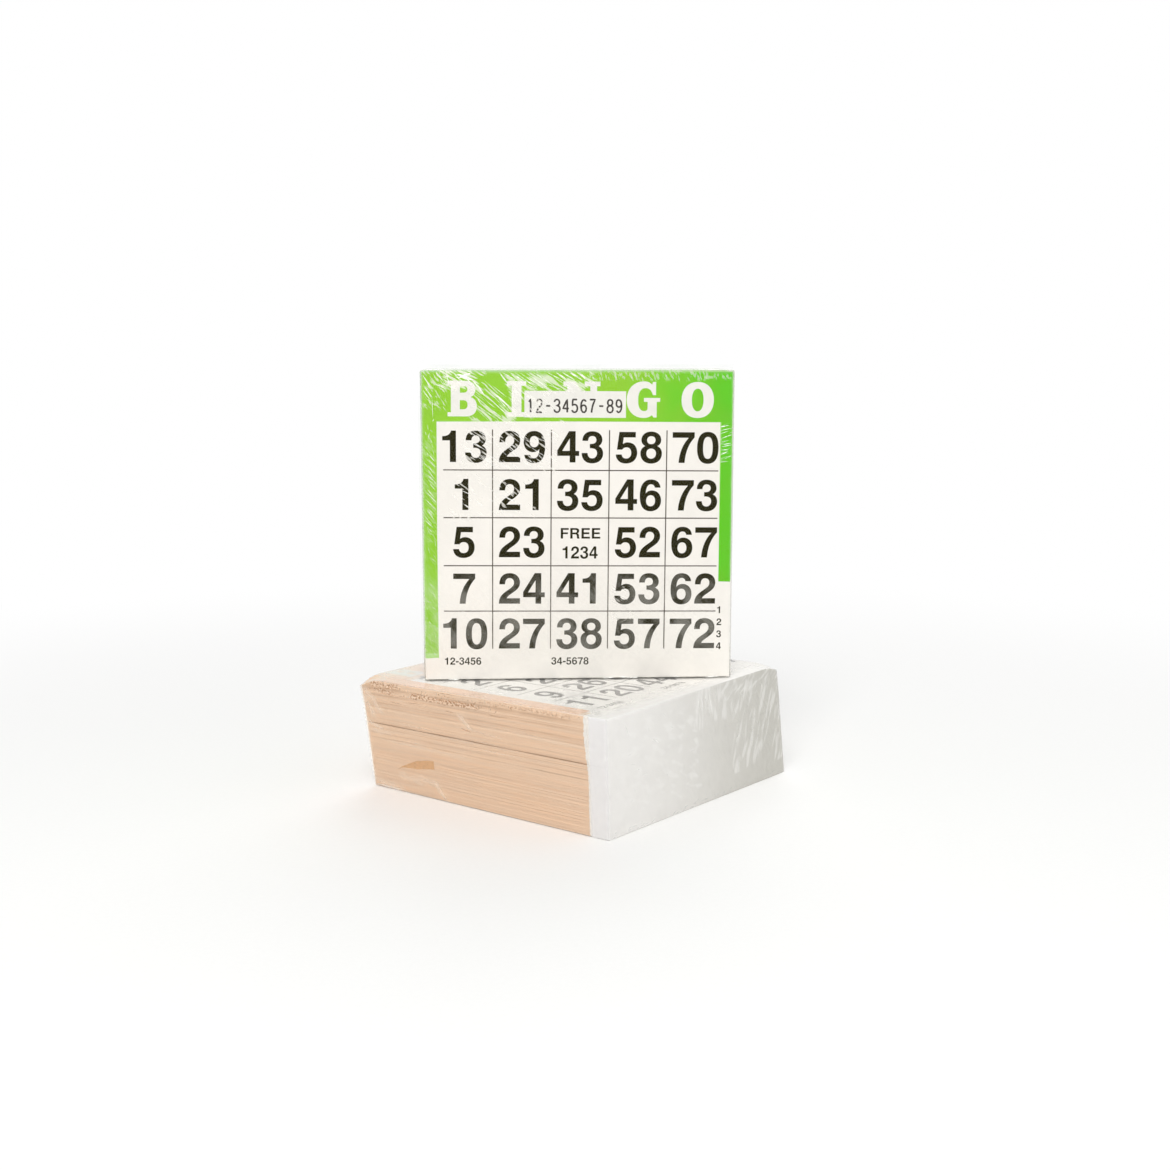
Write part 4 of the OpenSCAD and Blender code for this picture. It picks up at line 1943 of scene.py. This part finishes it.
LOWER_SINGLE = (
    Crease(Side.LEFT, (43.8, 28.2, 48.4, 27.4), 0.5, Tone.DEEP),
    Crease(Side.LEFT, (0.5, 37.0, 0.5, 18.0), 0.9),
    Crease(Side.LEFT, (0.5, 20.0, 0.5, 0.8), 0.9),
    Crease(Side.LEFT, (0.6, 0.7, 14.0, 0.5), 0.7, Tone.FAINT),
    Crease(Side.FOOT, (8.8, 36.6, 11.0, 32.4), 0.3, Tone.FAINT),
) + tuple(
    Crease(Side.FOOT, ends, width, Tone.FAINT) for *ends, width in (
        (52.5, 38.6, 52.9, 31.2, 0.5), (54.6, 38.8, 55.0, 31.6, 0.4), (57.8, 36.0, 58.2, 30.6, 0.4),
        (60.8, 38.2, 61.2, 33.4, 0.4), (76.6, 33.8, 79.2, 33.4, 0.5), (81.5, 15.0, 84.6, 25.2, 0.5),
        (84.6, 13.0, 88.0, 22.0, 0.4), (88.6, 16.0, 92.0, 24.6, 0.4), (71.6, 16.6, 74.4, 20.4, 0.4),
        (94.6, 22.4, 96.4, 28.0, 0.4), (23.4, 28.6, 27.8, 26.6, 0.4), (14.2, 20.8, 16.0, 20.2, 0.4),
    )
)


LOWER_TURN = math.radians(48.7)
# Corners that the film has drawn down: place across and up, reach and drop.
LOWER_SAGS = ((0.0, 101.6, 9.0, 2.6), (101.6, 0.0, 10.0, 1.6))
# Painted shade along the lines where the stack has parted: level, half height and strength.
LOWER_PARTING_SHADE = (
    (18.7, 0.35, 0.5), (20.4, 0.3, 0.2), (23.95, 0.5, 0.7), (26.0, 0.3, 0.2),
    (30.2, 0.4, 0.3), (31.9, 0.5, 0.3), (34.6, 0.6, 0.25), (37.2, 1.4, 0.35),
)
# Rows of dents painted as specks of shade and highlight: start and end along the left side, level, half height and
# strength.
LOWER_DENT_SHADING = (
    (3, 19, 38.6, 1.3, 0.75), (4, 15, 36.3, 1.0, 0.6), (21, 53, 36.3, 1.2, 0.8), (50, 92, 38.6, 0.8, 0.4),
)


def lower_assemblies(type_case: Typeface) -> list[BentCards | CardFace | FilmWrap]:
    """Plans the lower pack and dresses its cards.

    Args:
        type_case: The printed characters.

    Returns:
        Its bent cards, its print and its film.
    """
    cos, sin = math.cos(LOWER_TURN), math.sin(LOWER_TURN)
    stack = StackFrame.measure("lower", Vector((cos, sin, 0)), Vector((-sin, cos, 0)), LOWER_SAGS)
    paper = CardPaper(
        "orange_card_paper_edges", stack, srgb(235, 203, 173), seams=LOWER_PARTING_SHADE, dents=LOWER_DENT_SHADING, top_light=0.05
    ).material()
    dress_cards("lower", paper)
    bent = [
        BentCards(f"lower_{name}", "lower_pack", "orange_card_paper", stack, paper)
        for name in ("lift_6", "lift_7", "face_card")
    ]
    border = BorderInk("orange_border_ink", stack, srgb(247, 196, 156), srgb(244, 180, 134))
    ink = PrintInk("grey_numeral_ink", srgb(60, 58, 56))
    film = ClearFilm(
        "lower_clear_film", stack,
        {Side.FACE: 0.27, Side.LEFT: 0.05, Side.FOOT: 0.84, Side.RIGHT: 0.2, Side.HEAD: 0.1},
        0.1, srgb(243, 241, 238), srgb(194, 192, 184), LOWER_GLINT_STREAKS,
        wrap=0.8, glare=0.25, wrinkle=1.0, soft_folds=LOWER_SOFT_FOLDS,
    )
    return bent + [
        CardFace("lower", "lower_pack", "orange_card_paper", stack, type_case, border, ink,
                 LOWER_NUMBERS, 0.0, (2.4, 2.4), (1.9, 2.5)),
        FilmWrap("lower", "lower_pack", film, LOWER_FIELDS + unseen_fields((Side.RIGHT, Side.HEAD)), LOWER_SINGLE,
                 0.04, srgb(182, 130, 86), 23, LOWER_FOLD_SHADE_PATCHES),
    ]


def upright_assemblies(type_case: Typeface) -> list[CardFace | FilmWrap]:
    """Plans the standing pack and dresses its cards.

    Args:
        type_case: The printed characters.

    Returns:
        Its print and its film.
    """
    stack = StackFrame.measure("upright", Vector((1, 0, 0)), Vector((0, 0, 1)))
    paper = CardPaper(
        "green_card_paper_edges", stack, srgb(150, 208, 92), srgb(240, 236, 230), foot_rise=0.0, foot_light=0.045
    )
    dress_cards("upright", paper.material())
    border = BorderInk("green_border_ink", stack, srgb(141, 199, 42), srgb(90, 192, 12))
    ink = PrintInk("black_numeral_ink", srgb(36, 33, 6), 0.02, 0.05)
    milk = srgb(240, 237, 228)
    film = ClearFilm(
        "upright_clear_film", stack,
        {Side.LEFT: 0.1, Side.RIGHT: 0.1, Side.HEAD: 0.25, Side.FOOT: 0.1, Side.BACK: 0.04},
        0.2, milk, milk, UPRIGHT_GLINT_STREAKS, foot_haze=0.18,
    )
    unseen = unseen_fields((Side.LEFT, Side.RIGHT, Side.HEAD, Side.FOOT, Side.BACK))
    return [
        CardFace("upright", "upright_pack", "green_card_paper", stack, type_case, border, ink, UPRIGHT_NUMBERS),
        FilmWrap("upright", "upright_pack", film, UPRIGHT_FIELDS + unseen, UPRIGHT_SINGLE,
                 0.1, srgb(176, 176, 160), 11),
    ]


def main() -> None:
    """Builds the packs in order and reports each piece."""
    logging.basicConfig(level=logging.INFO, format="%(message)s")
    Studio().build()
    type_case = Typeface()
    assemblies = upright_assemblies(type_case) + lower_assemblies(type_case)
    # The cards come first, then the print on them, then the film over both.
    assemblies.sort(key=lambda assembly: (BentCards, CardFace, FilmWrap).index(type(assembly)))
    for assembly in assemblies:
        for piece in assembly.build():
            LOG.info("%s: %d faces", piece.name, len(piece.data.polygons))


if __name__ == "__main__":
    main()
